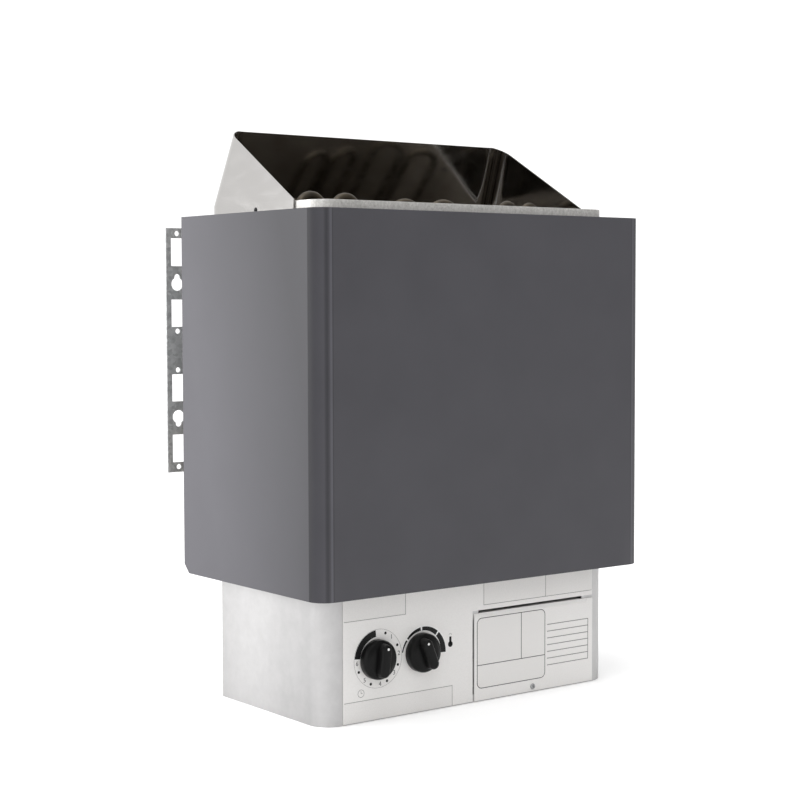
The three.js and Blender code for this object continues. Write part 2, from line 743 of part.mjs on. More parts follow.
function hairpin(from, to, z, rising, steps) {
  const middle = (from + to) / 2;
  const r = (to - from) / 2;
  const stations = [];
  for (let i = 0; i <= steps; i += 1) {
    const angle = Math.PI * (1 - i / steps);
    stations.push(new THREE.Vector3(middle + r * Math.cos(angle), 0, z + rising * r * Math.sin(angle)));
  }
  return stations;
}

function heatingElement() {
  const inner = LOOP_SPACING / 2 - LOOP_R;
  const top = ELEMENT_HIGH - TUBE_R - LOOP_R;
  const dip = ELEMENT_DIP + TUBE_R + inner;
  const stations = [
    new THREE.Vector3(-LEG, 0, ELEMENT_END),
    ...hairpin(-LEG, -inner, top, 1, 8),
    ...hairpin(-inner, inner, dip, -1, 6),
    ...hairpin(inner, LEG, top, 1, 8),
    new THREE.Vector3(LEG, 0, ELEMENT_END),
  ];
  const bushings = [-LEG, LEG].flatMap((x) => [
    hexBar('z', HEX_R, [CARRIER_HIGH + FIT, CARRIER_HIGH + 6], x, 0),
    bar('z', BUSHING_R, [ELEMENT_END + 4, CARRIER_HIGH + 3], x, 0),
  ]);
  return join(tube(stations, TUBE_R, 10), ...bushings);
}

function elementNut() {
  const span = [CARRIER_LOW - FIT - 6, CARRIER_LOW - FIT];
  const bore = bar('z', BUSHING_R + FIT, [span[0] - 1, span[1] + 1], 0, 0);
  return cut(hexBar('z', HEX_R, span, 0, 0), bore);
}

for (const element of ELEMENTS) {
  const mesh = addPiece(`heating_element_${element.name}`, heatingElement(), 'element');
  mesh.position.set(element.x, element.y, 0);
  mesh.rotation.z = THREE.MathUtils.degToRad(element.turn);
}
for (const { x, y, element, number } of LEGS) {
  addPiece(`element_nut_${element.name}_${number}`, elementNut(), 'brass').position.set(x, y, 0);
}

// Steam deflector: drawn with its rear wall in front, then turned round

function steamDeflector() {
  const plan = bentSheet(WING_HALF, -DEFLECTOR_REAR, 100, DEFLECTOR_BEND, WING_SHEET);
  const rise = DEFLECTOR_HIGH - DEFLECTOR_KINK;
  const upper = extrude(plan, rise);
  const place = upper.attributes.position;
  for (let i = 0; i < place.count; i += 1) {
    const up = place.getZ(i) / rise;
    place.setX(i, place.getX(i) * (1 - (up * WING_LEAN) / WING_HALF));
    place.setY(i, place.getY(i) + up * DEFLECTOR_LEAN);
  }
  upper.rotateZ(Math.PI).translate(0, 0, DEFLECTOR_KINK);
  const skirt = extrude(plan, DEFLECTOR_KINK - DEFLECTOR_LOW);
  skirt.rotateZ(Math.PI).translate(0, 0, DEFLECTOR_LOW);
  const backTop = DEFLECTOR_REAR - DEFLECTOR_LEAN;
  const side = polygon([
    [WING_FOOT_Y, DEFLECTOR_LOW - 1],
    [DEFLECTOR_REAR + 1, DEFLECTOR_LOW - 1],
    [DEFLECTOR_REAR + 1, DEFLECTOR_HIGH + 1],
    [backTop, DEFLECTOR_HIGH + 1],
    [WING_TIP.y, WING_TIP.z],
  ]);
  const holes = bar('x', SCREW_HOLE_R, [-WING_HALF - 1, WING_HALF + 1], WING_SCREW.y, WING_SCREW.z, 12);
  return cut(join(toSolid(upper), toSolid(skirt)).intersect(across(side, -WIDTH, WIDTH)), holes);
}

addPiece('steam_deflector', steamDeflector(), 'mirror');
for (const { name, sign, outwards } of SIDES) {
  const seat = { x: sign * (WING_HALF + FIT), ...WING_SCREW };
  addScrew(`deflector_screw_${name}`, seat, outwards, 8, SMALL_SCREW);
}

// Wall rack: a framed plate whose middle is cut and folded forwards as two cheeks

function wallRack() {
  const { half, low, high, sheet } = RACK;
  const back = [WALL - sheet, WALL];
  const through = [back[0] - 1, back[1] + 1];
  const middle = (low + high) / 2;
  const plate = box([-half, half], back, [low, high]);
  const window = box([-CHEEK.x, CHEEK.x], through, [CHEEK.low, CHEEK.high]);
  const tools = [window];
  for (const { sign } of SIDES) {
    const x = sign * RACK_HOLE_X;
    for (const way of [-1, 1]) {
      const at = (offset) => middle + way * offset;
      RACK_HOLES.forEach((offset) => tools.push(bar('y', RACK_HOLE_R, through, x, at(offset), 12)));
      for (const [near, far] of RACK_WINDOWS) {
        tools.push(box(sideSpan(sign, ...RACK_WINDOW_X), through, spanOf(at(near), at(far))));
      }
      const neckEnd = KEYHOLE.end - KEYHOLE.neck;
      tools.push(bar('y', KEYHOLE.r, through, x, at(KEYHOLE.z)));
      tools.push(bar('y', KEYHOLE.neck, through, x, at(neckEnd), 12));
      tools.push(box([x - KEYHOLE.neck, x + KEYHOLE.neck], through, spanOf(at(KEYHOLE.z), at(neckEnd))));
    }
  }
  const cheeks = SIDES.map(({ sign }) => {
    const x = sideSpan(sign, CHEEK.x, CHEEK.x + CHEEK.sheet);
    const sheetPlate = box(x, [CHEEK.front, WALL - sheet / 2], [CHEEK.low, CHEEK.high]);
    const across = [x[0] - 1, x[1] + 1];
    const notch = box(across, [HOOK.y - HOOK.notch, HOOK.y + HOOK.notch], [HOOK.z, CHEEK.high + 1]);
    const seat = bar('x', HOOK.notch, across, HOOK.y, HOOK.z);
    const lock = bar('x', SCREW_HOLE_R, across, LOCK_SCREW.y, LOCK_SCREW.z, 12);
    return cut(sheetPlate, notch, seat, lock);
  });
  return join(cut(plate, ...tools), ...cheeks);
}

// Angles on the heater's back, each with a stud that drops into a cheek's notch
function hanger(sign) {
  const { low, high, depth, flange, sheet } = HANGER;
  const front = BODY_REAR + FIT;
  const level = [low, high];
  const web = box(sideSpan(sign, HANGER_X, HANGER_X + sheet), [front, front + depth], level);
  const foot = box(sideSpan(sign, HANGER_X, HANGER_X + sheet + flange), [front, front + sheet], level);
  const stud = bar('x', HOOK.r, sideSpan(sign, CHEEK.x - 7, HANGER_X + 1), HOOK.y, HOOK.z);
  const through = [front - 1, front + 3];
  const holes = HANGER_SCREWS.map((z) => bar('y', SCREW_HOLE_R, through, sign * HANGER_SCREW_X, z, 12));
  const lockSpan = sideSpan(sign, HANGER_X - 1, HANGER_X + sheet + 1);
  const lock = bar('x', SCREW_HOLE_R, lockSpan, LOCK_SCREW.y, LOCK_SCREW.z, 12);
  return cut(join(web, foot, stud), ...holes, lock);
}

addPiece('wall_rack', wallRack(), 'galvanised');
for (const { name, sign, outwards } of SIDES) {
  addPiece(`hanger_${name}`, hanger(sign), 'galvanised');
  const seat = BODY_REAR + 2 * FIT + HANGER.sheet;
  HANGER_SCREWS.forEach((z, i) => {
    const level = ['lower', 'upper'][i];
    addScrew(`hanger_screw_${name}_${level}`, { x: sign * HANGER_SCREW_X, y: seat, z }, TO_REAR, 9);
  });
  const lockX = sign * (HANGER_X + HANGER.sheet + FIT);
  addScrew(`rack_lock_screw_${name}`, { x: lockX, ...LOCK_SCREW }, outwards, 10);
}

export default group;
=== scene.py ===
import json
import math

import bmesh
import bpy
import numpy as np
from mathutils import Matrix, Vector


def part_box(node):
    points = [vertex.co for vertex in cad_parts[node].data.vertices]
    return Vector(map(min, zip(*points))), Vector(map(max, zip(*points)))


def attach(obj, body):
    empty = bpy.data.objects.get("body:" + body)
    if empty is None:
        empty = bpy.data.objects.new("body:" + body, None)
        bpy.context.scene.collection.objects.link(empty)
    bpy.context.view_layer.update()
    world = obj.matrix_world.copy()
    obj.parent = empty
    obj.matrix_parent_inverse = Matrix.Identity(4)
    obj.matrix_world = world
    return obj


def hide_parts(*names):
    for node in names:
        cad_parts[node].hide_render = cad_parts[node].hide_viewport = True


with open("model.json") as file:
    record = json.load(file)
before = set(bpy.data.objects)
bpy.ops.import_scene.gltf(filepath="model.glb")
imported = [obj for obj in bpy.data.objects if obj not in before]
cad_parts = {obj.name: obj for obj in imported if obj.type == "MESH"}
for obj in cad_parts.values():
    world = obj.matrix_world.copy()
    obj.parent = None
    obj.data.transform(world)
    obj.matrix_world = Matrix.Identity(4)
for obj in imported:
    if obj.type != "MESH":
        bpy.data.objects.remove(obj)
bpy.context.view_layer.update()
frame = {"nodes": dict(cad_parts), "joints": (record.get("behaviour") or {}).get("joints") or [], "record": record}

# Wall-hung sauna heater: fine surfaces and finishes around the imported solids.
# Metres, +Z up, the front faces -Y.

mm = 0.001
weldGap = 0.001 * mm  # points closer than this are merged
shortEdge = 0.0001 * mm  # shorter edges are dissolved
near = 0.1 * mm  # how close to a face counts as on it
nodes = frame["nodes"]


print("frame loaded,", len(nodes), "nodes")


# Small helpers

def linear(hexText):
    # sRGB hex to linear colour, with full alpha
    parts = [int(hexText[i:i + 2], 16) / 255 for i in (1, 3, 5)]
    return tuple(p / 12.92 if p <= 0.04045 else ((p + 0.055) / 1.055) ** 2.4 for p in parts) + (1.0,)


def perMm(size):
    # pattern scale for features of this size in millimetres
    return 1.0 / (size * mm)


def jointPlace(name):
    # where a joint's axis stands in the frame
    return next(joint for joint in frame["joints"] if joint["name"] == name)["pos_m"]


def join(tree, value, socket):
    # links an output, or a node's first output, to the socket; a plain value is set on it
    if isinstance(value, bpy.types.Node):
        value = value.outputs[0]
    if isinstance(value, bpy.types.NodeSocket):
        tree.links.new(value, socket)
    else:
        socket.default_value = value


def addNode(tree, kind, inputs=None, stops=None, **settings):
    # one node with its settings, its ramp stops, and its sockets set or linked
    node = tree.nodes.new(kind)
    for name, value in settings.items():
        setattr(node, name, value)
    if stops:
        ramp = node.color_ramp
        while len(ramp.elements) < len(stops):
            ramp.elements.new(1.0)
        for element, (place, colour) in zip(ramp.elements, stops):
            element.position = place
            element.color = linear(colour) if isinstance(colour, str) else (colour, colour, colour, 1.0)
    for name, value in (inputs or {}).items():
        join(tree, value, node.inputs[name])
    return node


def feed(tree, shader, **sockets):
    # sets or links the shader's sockets, whose names have _ for a space
    for name, value in sockets.items():
        join(tree, value, shader.inputs[name.replace("_", " ")])


def startMaterial(name, **sockets):
    # a material with one principled shader; the constants go straight on its sockets
    material = bpy.data.materials.new(name)
    material.use_nodes = True
    tree = material.node_tree
    shader = tree.nodes["Principled BSDF"]
    feed(tree, shader, **sockets)
    place = addNode(tree, "ShaderNodeTexCoord")
    return material, tree, shader, place


def loftParts(parts):
    # each part is a stack of closed outlines, shape (rings, points, 3): walls between the rings and a cap at
    # both ends
    allPoints, allFaces, start = [], [], 0
    for rings in parts:
        count, around = rings.shape[:2]
        i, j = np.meshgrid(np.arange(count - 1), np.arange(around), indexing="ij")
        following = (j + 1) % around
        walls = np.stack([i * around + j, i * around + following,
                          (i + 1) * around + following, (i + 1) * around + j], -1)
        allFaces += (walls.reshape(-1, 4) + start).tolist()
        allFaces.append((np.arange(around)[::-1] + start).tolist())
        allFaces.append((np.arange(around) + start + (count - 1) * around).tolist())
        allPoints.append(rings.reshape(-1, 3))
        start += count * around
    return np.concatenate(allPoints), allFaces


def addPiece(name, points, faces, material, body="heater", sharpAngle=35, closed=True):
    # puts the arrays into a mesh, merges its poles, turns its faces out and rides it on a body
    mesh = bpy.data.meshes.new(name)
    mesh.from_pydata(np.asarray(points).tolist(), [], faces)
    if closed:
        work = bmesh.new()
        work.from_mesh(mesh)
        bmesh.ops.remove_doubles(work, verts=work.verts, dist=weldGap)
        bmesh.ops.dissolve_degenerate(work, edges=work.edges, dist=shortEdge)
        bmesh.ops.recalc_face_normals(work, faces=work.faces)
        work.to_mesh(mesh)
        work.free()
    mesh.polygons.foreach_set("use_smooth", np.ones(len(mesh.polygons), bool))
    mesh.set_sharp_from_angle(angle=math.radians(sharpAngle))
    mesh.materials.append(material)
    piece = bpy.data.objects.new(name, mesh)
    bpy.context.scene.collection.objects.link(piece)
    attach(piece, body)
    return piece


# Camera, as the photograph was taken

camera = {
    "place": (-1.10208, -1.44161, 0.40131),
    "yaw": 37.2367,
    "pitch": 3.2917,  # downwards
    "roll": -0.138,
    "lens": 78.79,
    "sensor": 36.0,
    "reach": 50.0,
}


def addCamera():
    # the view direction is turned by yaw from +Y towards +X and tipped down by pitch; roll turns the picture
    data = bpy.data.cameras.new("photoCamera")
    data.lens = camera["lens"]
    data.sensor_width = camera["sensor"]
    data.clip_end = camera["reach"]
    holder = bpy.data.objects.new("photoCamera", data)
    yaw, pitch, roll = (math.radians(camera[key]) for key in ("yaw", "pitch", "roll"))
    forward = Vector((math.sin(yaw) * math.cos(pitch), math.cos(yaw) * math.cos(pitch), -math.sin(pitch)))
    right = Vector((math.cos(yaw), -math.sin(yaw), 0))
    up = right.cross(forward)
    side = math.cos(roll) * right + math.sin(roll) * up
    top = -math.sin(roll) * right + math.cos(roll) * up
    turn = Matrix((side, top, -forward)).transposed().to_4x4()
    holder.matrix_world = Matrix.Translation(camera["place"]) @ turn
    bpy.context.scene.collection.objects.link(holder)
    bpy.context.scene.camera = holder


# Studio: a pale floor in a bright surround that is dimmer towards the front right, and soft lamps

studio = {
    "floorHalf": 7.0,
    "floorColour": "#f6f6f6",
    "floorGlow": 0.2,
    "white": (1.0, 1.0, 1.0, 1.0),
    "bright": 1.2,
    "dim": 0.4,
    "dimSide": (0.6, -0.8, 0.0),
    "dimFrom": 0.0,
    "dimTo": 0.8,
    "overhead": 0.45,
    "overheadSpread": 60,  # degrees
    "lamps": [
        {"name": "leftSoftbox", "place": (-1.4, 0.9, 0.5), "aim": (0, 0, 0.3), "size": 0.9, "power": 9},
        {"name": "topSoftbox", "place": (-0.6, -0.6, 2.8), "aim": (0, 0, 0.4), "size": 1.4, "power": 14},
    ],
}


def addFloor():
    # white paper that looks a little brighter to the camera, so that the shadow on it stays faint
    half = studio["floorHalf"]
    mesh = bpy.data.meshes.new("floor")
    corners = [(-half, -half, 0), (half, -half, 0), (half, half, 0), (-half, half, 0)]
    mesh.from_pydata(corners, [], [(0, 1, 2, 3)])
    floor = bpy.data.objects.new("floor", mesh)
    bpy.context.scene.collection.objects.link(floor)
    paper, tree, shader = startMaterial(
        "paperFloor", Base_Color=linear(studio["floorColour"]), Emission_Color=studio["white"],
        Roughness=0.9, Specular_IOR_Level=0.1)[:3]
    path = addNode(tree, "ShaderNodeLightPath")
    glow = addNode(tree, "ShaderNodeMath", {0: path.outputs["Is Camera Ray"], 1: studio["floorGlow"]},
                   operation="MULTIPLY")
    feed(tree, shader, Emission_Strength=glow)
    mesh.materials.append(paper)


def addSurround():
    # the light falls off smoothly towards the dim side; the background itself stays white
    world = bpy.data.worlds.new("studioSurround")
    world.use_nodes = True
    tree = world.node_tree
    place = addNode(tree, "ShaderNodeTexCoord")
    dot = addNode(tree, "ShaderNodeVectorMath", {0: place.outputs["Generated"], 1: studio["dimSide"]},
                  operation="DOT_PRODUCT")
    level = addNode(tree, "ShaderNodeMapRange", {
        "Value": dot.outputs["Value"], "From Min": studio["dimFrom"], "From Max": studio["dimTo"],
        "To Min": studio["bright"], "To Max": studio["dim"]}, interpolation_type="SMOOTHSTEP")
    path = addNode(tree, "ShaderNodeLightPath")
    seen = addNode(tree, "ShaderNodeMix", {
        0: path.outputs["Is Camera Ray"], 2: level, 3: studio["bright"]})
    tree.links.new(seen.outputs[0], tree.nodes["Background"].inputs["Strength"])
    tree.nodes["Background"].inputs["Color"].default_value = studio["white"]
    bpy.context.scene.world = world


def addLamps():
    # square lamps that face their aim, and an even light from overhead
    for lamp in studio["lamps"]:
        data = bpy.data.lights.new(lamp["name"], "AREA")
        data.size = lamp["size"]
        data.energy = lamp["power"]
        holder = bpy.data.objects.new(lamp["name"], data)
        aim = Vector(lamp["aim"]) - Vector(lamp["place"])
        holder.rotation_euler = aim.to_track_quat("-Z", "Y").to_euler()
        holder.location = lamp["place"]
        bpy.context.scene.collection.objects.link(holder)
    sky = bpy.data.lights.new("overheadLight", "SUN")
    sky.energy = studio["overhead"]
    sky.angle = math.radians(studio["overheadSpread"])
    bpy.context.scene.collection.objects.link(bpy.data.objects.new("overheadLight", sky))
    bpy.context.scene.view_settings.view_transform = "Standard"


addCamera()
addFloor()
addSurround()
addLamps()
print("camera and studio ready")


# Finishes

jacketTone = {
    "cloud": [(0.3, "#55545a"), (0.7, "#5a595f")],
    "flatHalf": 187.5 * mm,
    "arc": 27.5 * mm,
    "side": 190 * mm,
    "margin": 5 * mm,
    "middle": 295 * mm,  # height
    "slant": 0.25,
    # painted light: the rear values make the paint paler and shinier towards the rear and the foot
    "rearPaintedLight": 2.0,
    "rearPaintedSheen": 1.5,
    # painted shade: darker and duller round each bend, with a thin pale line where the bend meets the front
    "bendPaintedShadeStops": [  # places from the front, across a bend, to the side
        (0.15, 0.67), (0.16, 0.48), (0.18, 0.53), (0.195, 1.0), (0.235, 0.95), (0.27, 0.62), (0.32, 0.42),
        (0.36, 0.47), (0.41, 0.68), (0.55, 0.55), (0.7, 0.42), (0.8, 0.3), (0.855, 0.26), (0.868, 0.5)],
    "bendPaintedSheen": [(0.2, 0.4), (0.3, 0.3), (0.5, 0.22), (0.855, 0.16), (0.868, 0.31)],
}


def jacketPaint():
    # powder-coated steel: satin grey with a fine orange peel; painted light makes it paler and shinier towards the
    # rear and the foot, and painted shade makes each bend darker and duller than the sides, ending in a thin pale
    # line towards the front
    material, tree, shader, place = startMaterial("powderCoatedSteel")
    spot = place.outputs["Object"]
    cloud = addNode(tree, "ShaderNodeTexNoise", {"Vector": spot, "Scale": perMm(70), "Detail": 3})
    tone = addNode(tree, "ShaderNodeValToRGB", {"Fac": cloud}, jacketTone["cloud"])
    rough = addNode(tree, "ShaderNodeMapRange", {"Value": cloud, "To Min": 0.38, "To Max": 0.5})
    plan = addNode(tree, "ShaderNodeSeparateXYZ", {"Vector": place.outputs["UV"]})
    away = addNode(tree, "ShaderNodeMath", {0: plan.outputs["X"]}, operation="ABSOLUTE")
    flatHalf, margin, slant = jacketTone["flatHalf"], jacketTone["margin"], jacketTone["slant"]
    bendEnd = flatHalf + jacketTone["arc"]
    across = addNode(tree, "ShaderNodeMapRange", {
        "Value": away, "From Min": flatHalf - margin, "From Max": bendEnd + margin})
    # painted shade across each bend, with a thin pale line towards the front and a duller shine there
    bendPaintedShade = addNode(tree, "ShaderNodeValToRGB", {"Fac": across}, jacketTone["bendPaintedShadeStops"])
    bendPaintedSheen = addNode(tree, "ShaderNodeValToRGB", {"Fac": across}, jacketTone["bendPaintedSheen"])
    leaning = addNode(tree, "ShaderNodeMath", {0: plan.outputs["Y"], 1: -slant, 2: away},
                      operation="MULTIPLY_ADD")
    paleFrom = bendEnd - slant * jacketTone["middle"]
    paleTo = paleFrom + jacketTone["side"]
    paling = {"Value": leaning, "From Min": paleFrom, "From Max": paleTo, "To Min": 1.0}
    # painted light: paler and shinier towards the rear and the foot
    rearPaintedLight = addNode(tree, "ShaderNodeMapRange", {**paling, "To Max": jacketTone["rearPaintedLight"]})
    rearPaintedSheen = addNode(tree, "ShaderNodeMapRange", {**paling, "To Max": jacketTone["rearPaintedSheen"]})
    lifted = addNode(tree, "ShaderNodeVectorMath", {0: bendPaintedShade, "Scale": rearPaintedLight}, operation="SCALE")
    # the cloudy tone times the painted light and shade
    toneWithPaintedLightAndShade = addNode(tree, "ShaderNodeMix", {0: 1.0, 6: tone, 7: lifted}, data_type="RGBA",
                   blend_type="MULTIPLY")
    shine = addNode(tree, "ShaderNodeMath", {0: bendPaintedSheen, 1: rearPaintedSheen}, operation="MULTIPLY")
    peel = addNode(tree, "ShaderNodeTexNoise", {"Vector": spot, "Scale": perMm(1.1), "Detail": 2})
    bump = addNode(tree, "ShaderNodeBump", {"Height": peel, "Strength": 0.06, "Distance": 0.2 * mm})
    feed(tree, shader, Base_Color=toneWithPaintedLightAndShade.outputs[2], Specular_IOR_Level=shine, Roughness=rough, Normal=bump)
    return material


def satinStainless(name, light, dark, cloudSize, roughLow, roughHigh, metallic, alongPaintedShade=None):
    # cold-rolled stainless sheet: grey metal with soft cloudy patches and a fine rolled grain, drawn coarse enough
    # to show; a bent sheet may have painted shade, a tone at each distance from the sheet's middle
    material, tree, shader, place = startMaterial(name, Metallic=metallic)
    spot = place.outputs["Object"]
    cloud = addNode(tree, "ShaderNodeTexNoise", {
        "Vector": spot, "Scale": perMm(cloudSize), "Detail": 6, "Roughness": 0.65})
    tone = addNode(tree, "ShaderNodeValToRGB", {"Fac": cloud}, [(0.32, dark), (0.68, light)])
    rough = addNode(tree, "ShaderNodeMapRange", {"Value": cloud, "To Min": roughHigh, "To Max": roughLow})
    grain = addNode(tree, "ShaderNodeTexNoise", {"Vector": spot, "Scale": perMm(0.9), "Detail": 3})
    bump = addNode(tree, "ShaderNodeBump", {"Height": grain, "Strength": 0.08, "Distance": 0.2 * mm})
    feed(tree, shader, Base_Color=tone, Roughness=rough, Normal=bump)
    # painted shade: the tone is darkened by the given amount at each distance from the sheet's middle
    if alongPaintedShade:
        plan = addNode(tree, "ShaderNodeSeparateXYZ", {"Vector": place.outputs["UV"]})
        away = addNode(tree, "ShaderNodeMath", {0: plan.outputs["X"]}, operation="ABSOLUTE")
        shade = addNode(tree, "ShaderNodeValToRGB", {"Fac": away}, alongPaintedShade)
        toneWithPaintedLightAndShade = addNode(tree, "ShaderNodeMix", {0: 1.0, 6: tone, 7: shade}, data_type="RGBA",
                       blend_type="MULTIPLY")
        feed(tree, shader, Base_Color=toneWithPaintedLightAndShade.outputs[2])
    return material


def brightStainless():
    # bright-annealed stainless: nearly a mirror, with faint wiped smears and a slight waviness of the sheet
    material, tree, shader, place = startMaterial(
        "brightAnnealedStainless", Base_Color=linear("#b5b3b1"), Metallic=1.0)
    spot = place.outputs["Object"]
    stretch = addNode(tree, "ShaderNodeMapping", {"Vector": spot, "Scale": (1.0, 1.0, 3.0)})
    smear = addNode(tree, "ShaderNodeTexNoise", {
        "Vector": stretch, "Scale": perMm(28), "Detail": 5, "Distortion": 0.6})
    rough = addNode(tree, "ShaderNodeMapRange", {
        "Value": smear, "From Min": 0.45, "From Max": 0.75, "To Min": 0.1, "To Max": 0.17})
    ripple = addNode(tree, "ShaderNodeTexNoise", {"Vector": spot, "Scale": perMm(60), "Detail": 1})
    bump = addNode(tree, "ShaderNodeBump", {"Height": ripple, "Strength": 0.03, "Distance": 2 * mm})
    feed(tree, shader, Roughness=rough, Normal=bump)
    return material


def galvanisedSteel():
    # hot-dip galvanised sheet: dull grey with a crystal spangle of a few millimetres
    material, tree, shader, place = startMaterial("galvanisedSheet", Metallic=0.35)
    spangle = addNode(tree, "ShaderNodeTexVoronoi", {"Vector": place.outputs["Object"], "Scale": perMm(3.2)})
    grey = addNode(tree, "ShaderNodeSeparateColor", {"Color": spangle.outputs["Color"]})
    tone = addNode(tree, "ShaderNodeValToRGB", {"Fac": grey.outputs["Red"]},
                   [(0.1, "#a0a1a2"), (0.9, "#bcbdbe")])
    rough = addNode(tree, "ShaderNodeMapRange", {
        "Value": grey.outputs["Green"], "To Min": 0.42, "To Max": 0.65})
    feed(tree, shader, Base_Color=tone, Roughness=rough)
    return material


def silverSheet():
    # silver-painted panel sheet: even warm grey with a barely visible grain, drawn coarse enough to show
    material, tree, shader, place = startMaterial("silverPrintedSheet", Specular_IOR_Level=0.4)
    spot = place.outputs["Object"]
    grain = addNode(tree, "ShaderNodeTexNoise", {"Vector": spot, "Scale": perMm(1.4), "Detail": 4})
    tone = addNode(tree, "ShaderNodeValToRGB", {"Fac": grain}, [(0.3, "#f1efed"), (0.7, "#f6f4f2")])
    cloud = addNode(tree, "ShaderNodeTexNoise", {"Vector": spot, "Scale": perMm(45), "Detail": 2})
    rough = addNode(tree, "ShaderNodeMapRange", {"Value": cloud, "To Min": 0.4, "To Max": 0.55})
    feed(tree, shader, Base_Color=tone, Roughness=rough)
    return material


thinInk = {"paler": 1.2, "lift": 0.005}


def screenInk(name, colour):
    # screen-printed ink: flat, with slightly uneven cover that is a little paler where it is thin
    material, tree, shader, place = startMaterial(name, Roughness=0.55, Specular_IOR_Level=0.3)
    cover = addNode(tree, "ShaderNodeTexNoise", {
        "Vector": place.outputs["Object"], "Scale": perMm(0.8), "Detail": 3})
    deep = linear(colour)
    thin = tuple(min(1.0, channel * thinInk["paler"] + thinInk["lift"]) for channel in deep[:3]) + (1.0,)
    mixed = addNode(tree, "ShaderNodeMix", {0: cover, 6: deep, 7: thin}, data_type="RGBA")
    feed(tree, shader, Base_Color=mixed.outputs[2])
    return material


def mouldedPlastic(name, colour, rough, coat=0.0, shine=0.5):
    # moulded plastic: even colour, a fine texture from the mould, drawn coarse enough to show, and a clear
    # top gloss where coat is set
    material, tree, shader, place = startMaterial(
        name, Base_Color=linear(colour), Coat_Weight=coat, Coat_Roughness=0.12, Specular_IOR_Level=shine)
    skin = addNode(tree, "ShaderNodeTexNoise", {
        "Vector": place.outputs["Object"], "Scale": perMm(0.7), "Detail": 3})
    bump = addNode(tree, "ShaderNodeBump", {"Height": skin, "Strength": 0.05, "Distance": 0.1 * mm})
    spread = addNode(tree, "ShaderNodeMapRange", {
        "Value": skin, "To Min": rough - 0.05, "To Max": rough + 0.05})
    feed(tree, shader, Roughness=spread, Normal=bump)
    return material


def tintedMetal(name, light, dark, metallic, rough, patch):
    # bare or tarnished metal: two tones in patches of the given size, rougher where darker
    material, tree, shader, place = startMaterial(name, Metallic=metallic)
    cloud = addNode(tree, "ShaderNodeTexNoise", {
        "Vector": place.outputs["Object"], "Scale": perMm(patch), "Detail": 5})
    tone = addNode(tree, "ShaderNodeValToRGB", {"Fac": cloud}, [(0.3, dark), (0.7, light)])
    spread = addNode(tree, "ShaderNodeMapRange", {
        "Value": cloud, "To Min": rough + 0.08, "To Max": rough - 0.08})
    feed(tree, shader, Base_Color=tone, Roughness=spread)
    return material


# painted shade on the control box: darker round each bend, and a little darker along the sides than on the front
shellPaintedShade = [  # distances in metres from the middle of the front, round a bend, to the rear of a side
    (0.161, 1.0), (0.17, 0.97), (0.179, 0.92), (0.1835, 0.89), (0.1885, 0.76), (0.1945, 0.66),
    (0.212, 0.71), (0.239, 0.73), (0.275, 0.81), (0.311, 0.82), (0.348, 0.74)]
paint = jacketPaint()
boxSteel = satinStainless("satinBoxStainless", "#c5c4c4", "#bebdbd", 14, 0.5, 0.57, 0.9)
shellSteel = satinStainless("satinShellStainless", "#d7d6d6", "#d0cfcf", 14, 0.5, 0.57, 0.9, shellPaintedShade)
rimSteel = satinStainless("satinRimStainless", "#f4f2ef", "#cfcdc9", 2.5, 0.4, 0.6, 0.5)
# heat tint and painted shade: the bin's inside, back, floor and sensor clip are darker than its rim
binInsideTintAndShade = tintedMetal("heatTintAndPaintedShadeBinSteel", "#aca498", "#887f74", 0.7, 0.5, 40)
mirrorSteel = brightStainless()
zincSheet = galvanisedSteel()
panelSheet = silverSheet()
blackInk = screenInk("blackScreenInk", "#0c0c0c")
darkInk = screenInk("darkGreyScreenInk", "#474645")
greyInk = screenInk("greyScreenInk", "#7d7b79")
whiteInk = screenInk("whiteScreenInk", "#f3f2f0")
paleInk = screenInk("paleScreenInk", "#e5e3e1")
knobBlack = mouldedPlastic("blackKnobAbs", "#121212", 0.3, shine=0.16)
glandBlack = mouldedPlastic("blackGlandNylon", "#1c1c1d", 0.5)
unitBlack = mouldedPlastic("darkControlHousing", "#2e2e30", 0.6)
dotWhite = mouldedPlastic("whitePointerPaint", "#f4f4f2", 0.4)
resetRed = mouldedPlastic("redButtonPlastic", "#a82a22", 0.4, 0.1)
steatite = mouldedPlastic("steatiteBlock", "#e9e6dc", 0.5)
siliconeSleeve = mouldedPlastic("siliconeSleeve", "#9c4a33", 0.65)
elementSheath = tintedMetal("oxidisedElementSheath", "#554c3e", "#38322a", 0.6, 0.5, 9)
zincPlate = tintedMetal("zincPlatedScrew", "#c4c5c6", "#a4a5a6", 1.0, 0.3, 4)
blackenedSteel = tintedMetal("blackenedScrew", "#2a2a2b", "#1a1a1b", 0.8, 0.4, 3)
turnedBrass = tintedMetal("turnedBrass", "#c2a460", "#a1854a", 1.0, 0.35, 5)
copperTube = tintedMetal("drawnCopper", "#b9805a", "#98623f", 1.0, 0.35, 6)
print("finishes ready")


# Bent sheets: a plan line carried upwards, then given its thickness

def bentPlan(s, half, front, rear, bend):
    # distance along the plan to x, y: the left side from the rear, a round bend, the front, another bend and
    # the right side
    side = rear - front - bend
    arc = bend * math.pi / 2
    flat = 2 * (half - bend)
    ends = np.cumsum([side, arc, flat, arc])
    firstAngle = np.pi + (s - ends[0]) / bend
    lastAngle = 1.5 * np.pi + (s - ends[2]) / bend
    where = [s <= ends[0], s <= ends[1], s <= ends[2], s <= ends[3]]
    x = np.select(where, [-half + 0 * s, -half + bend + bend * np.cos(firstAngle),
                          -half + bend + s - ends[1], half - bend + bend * np.cos(lastAngle)], half)
    y = np.select(where, [rear - s, front + bend + bend * np.sin(firstAngle),
                          front + 0 * s, front + bend + bend * np.sin(lastAngle)], front + bend + s - ends[3])
    return x, y


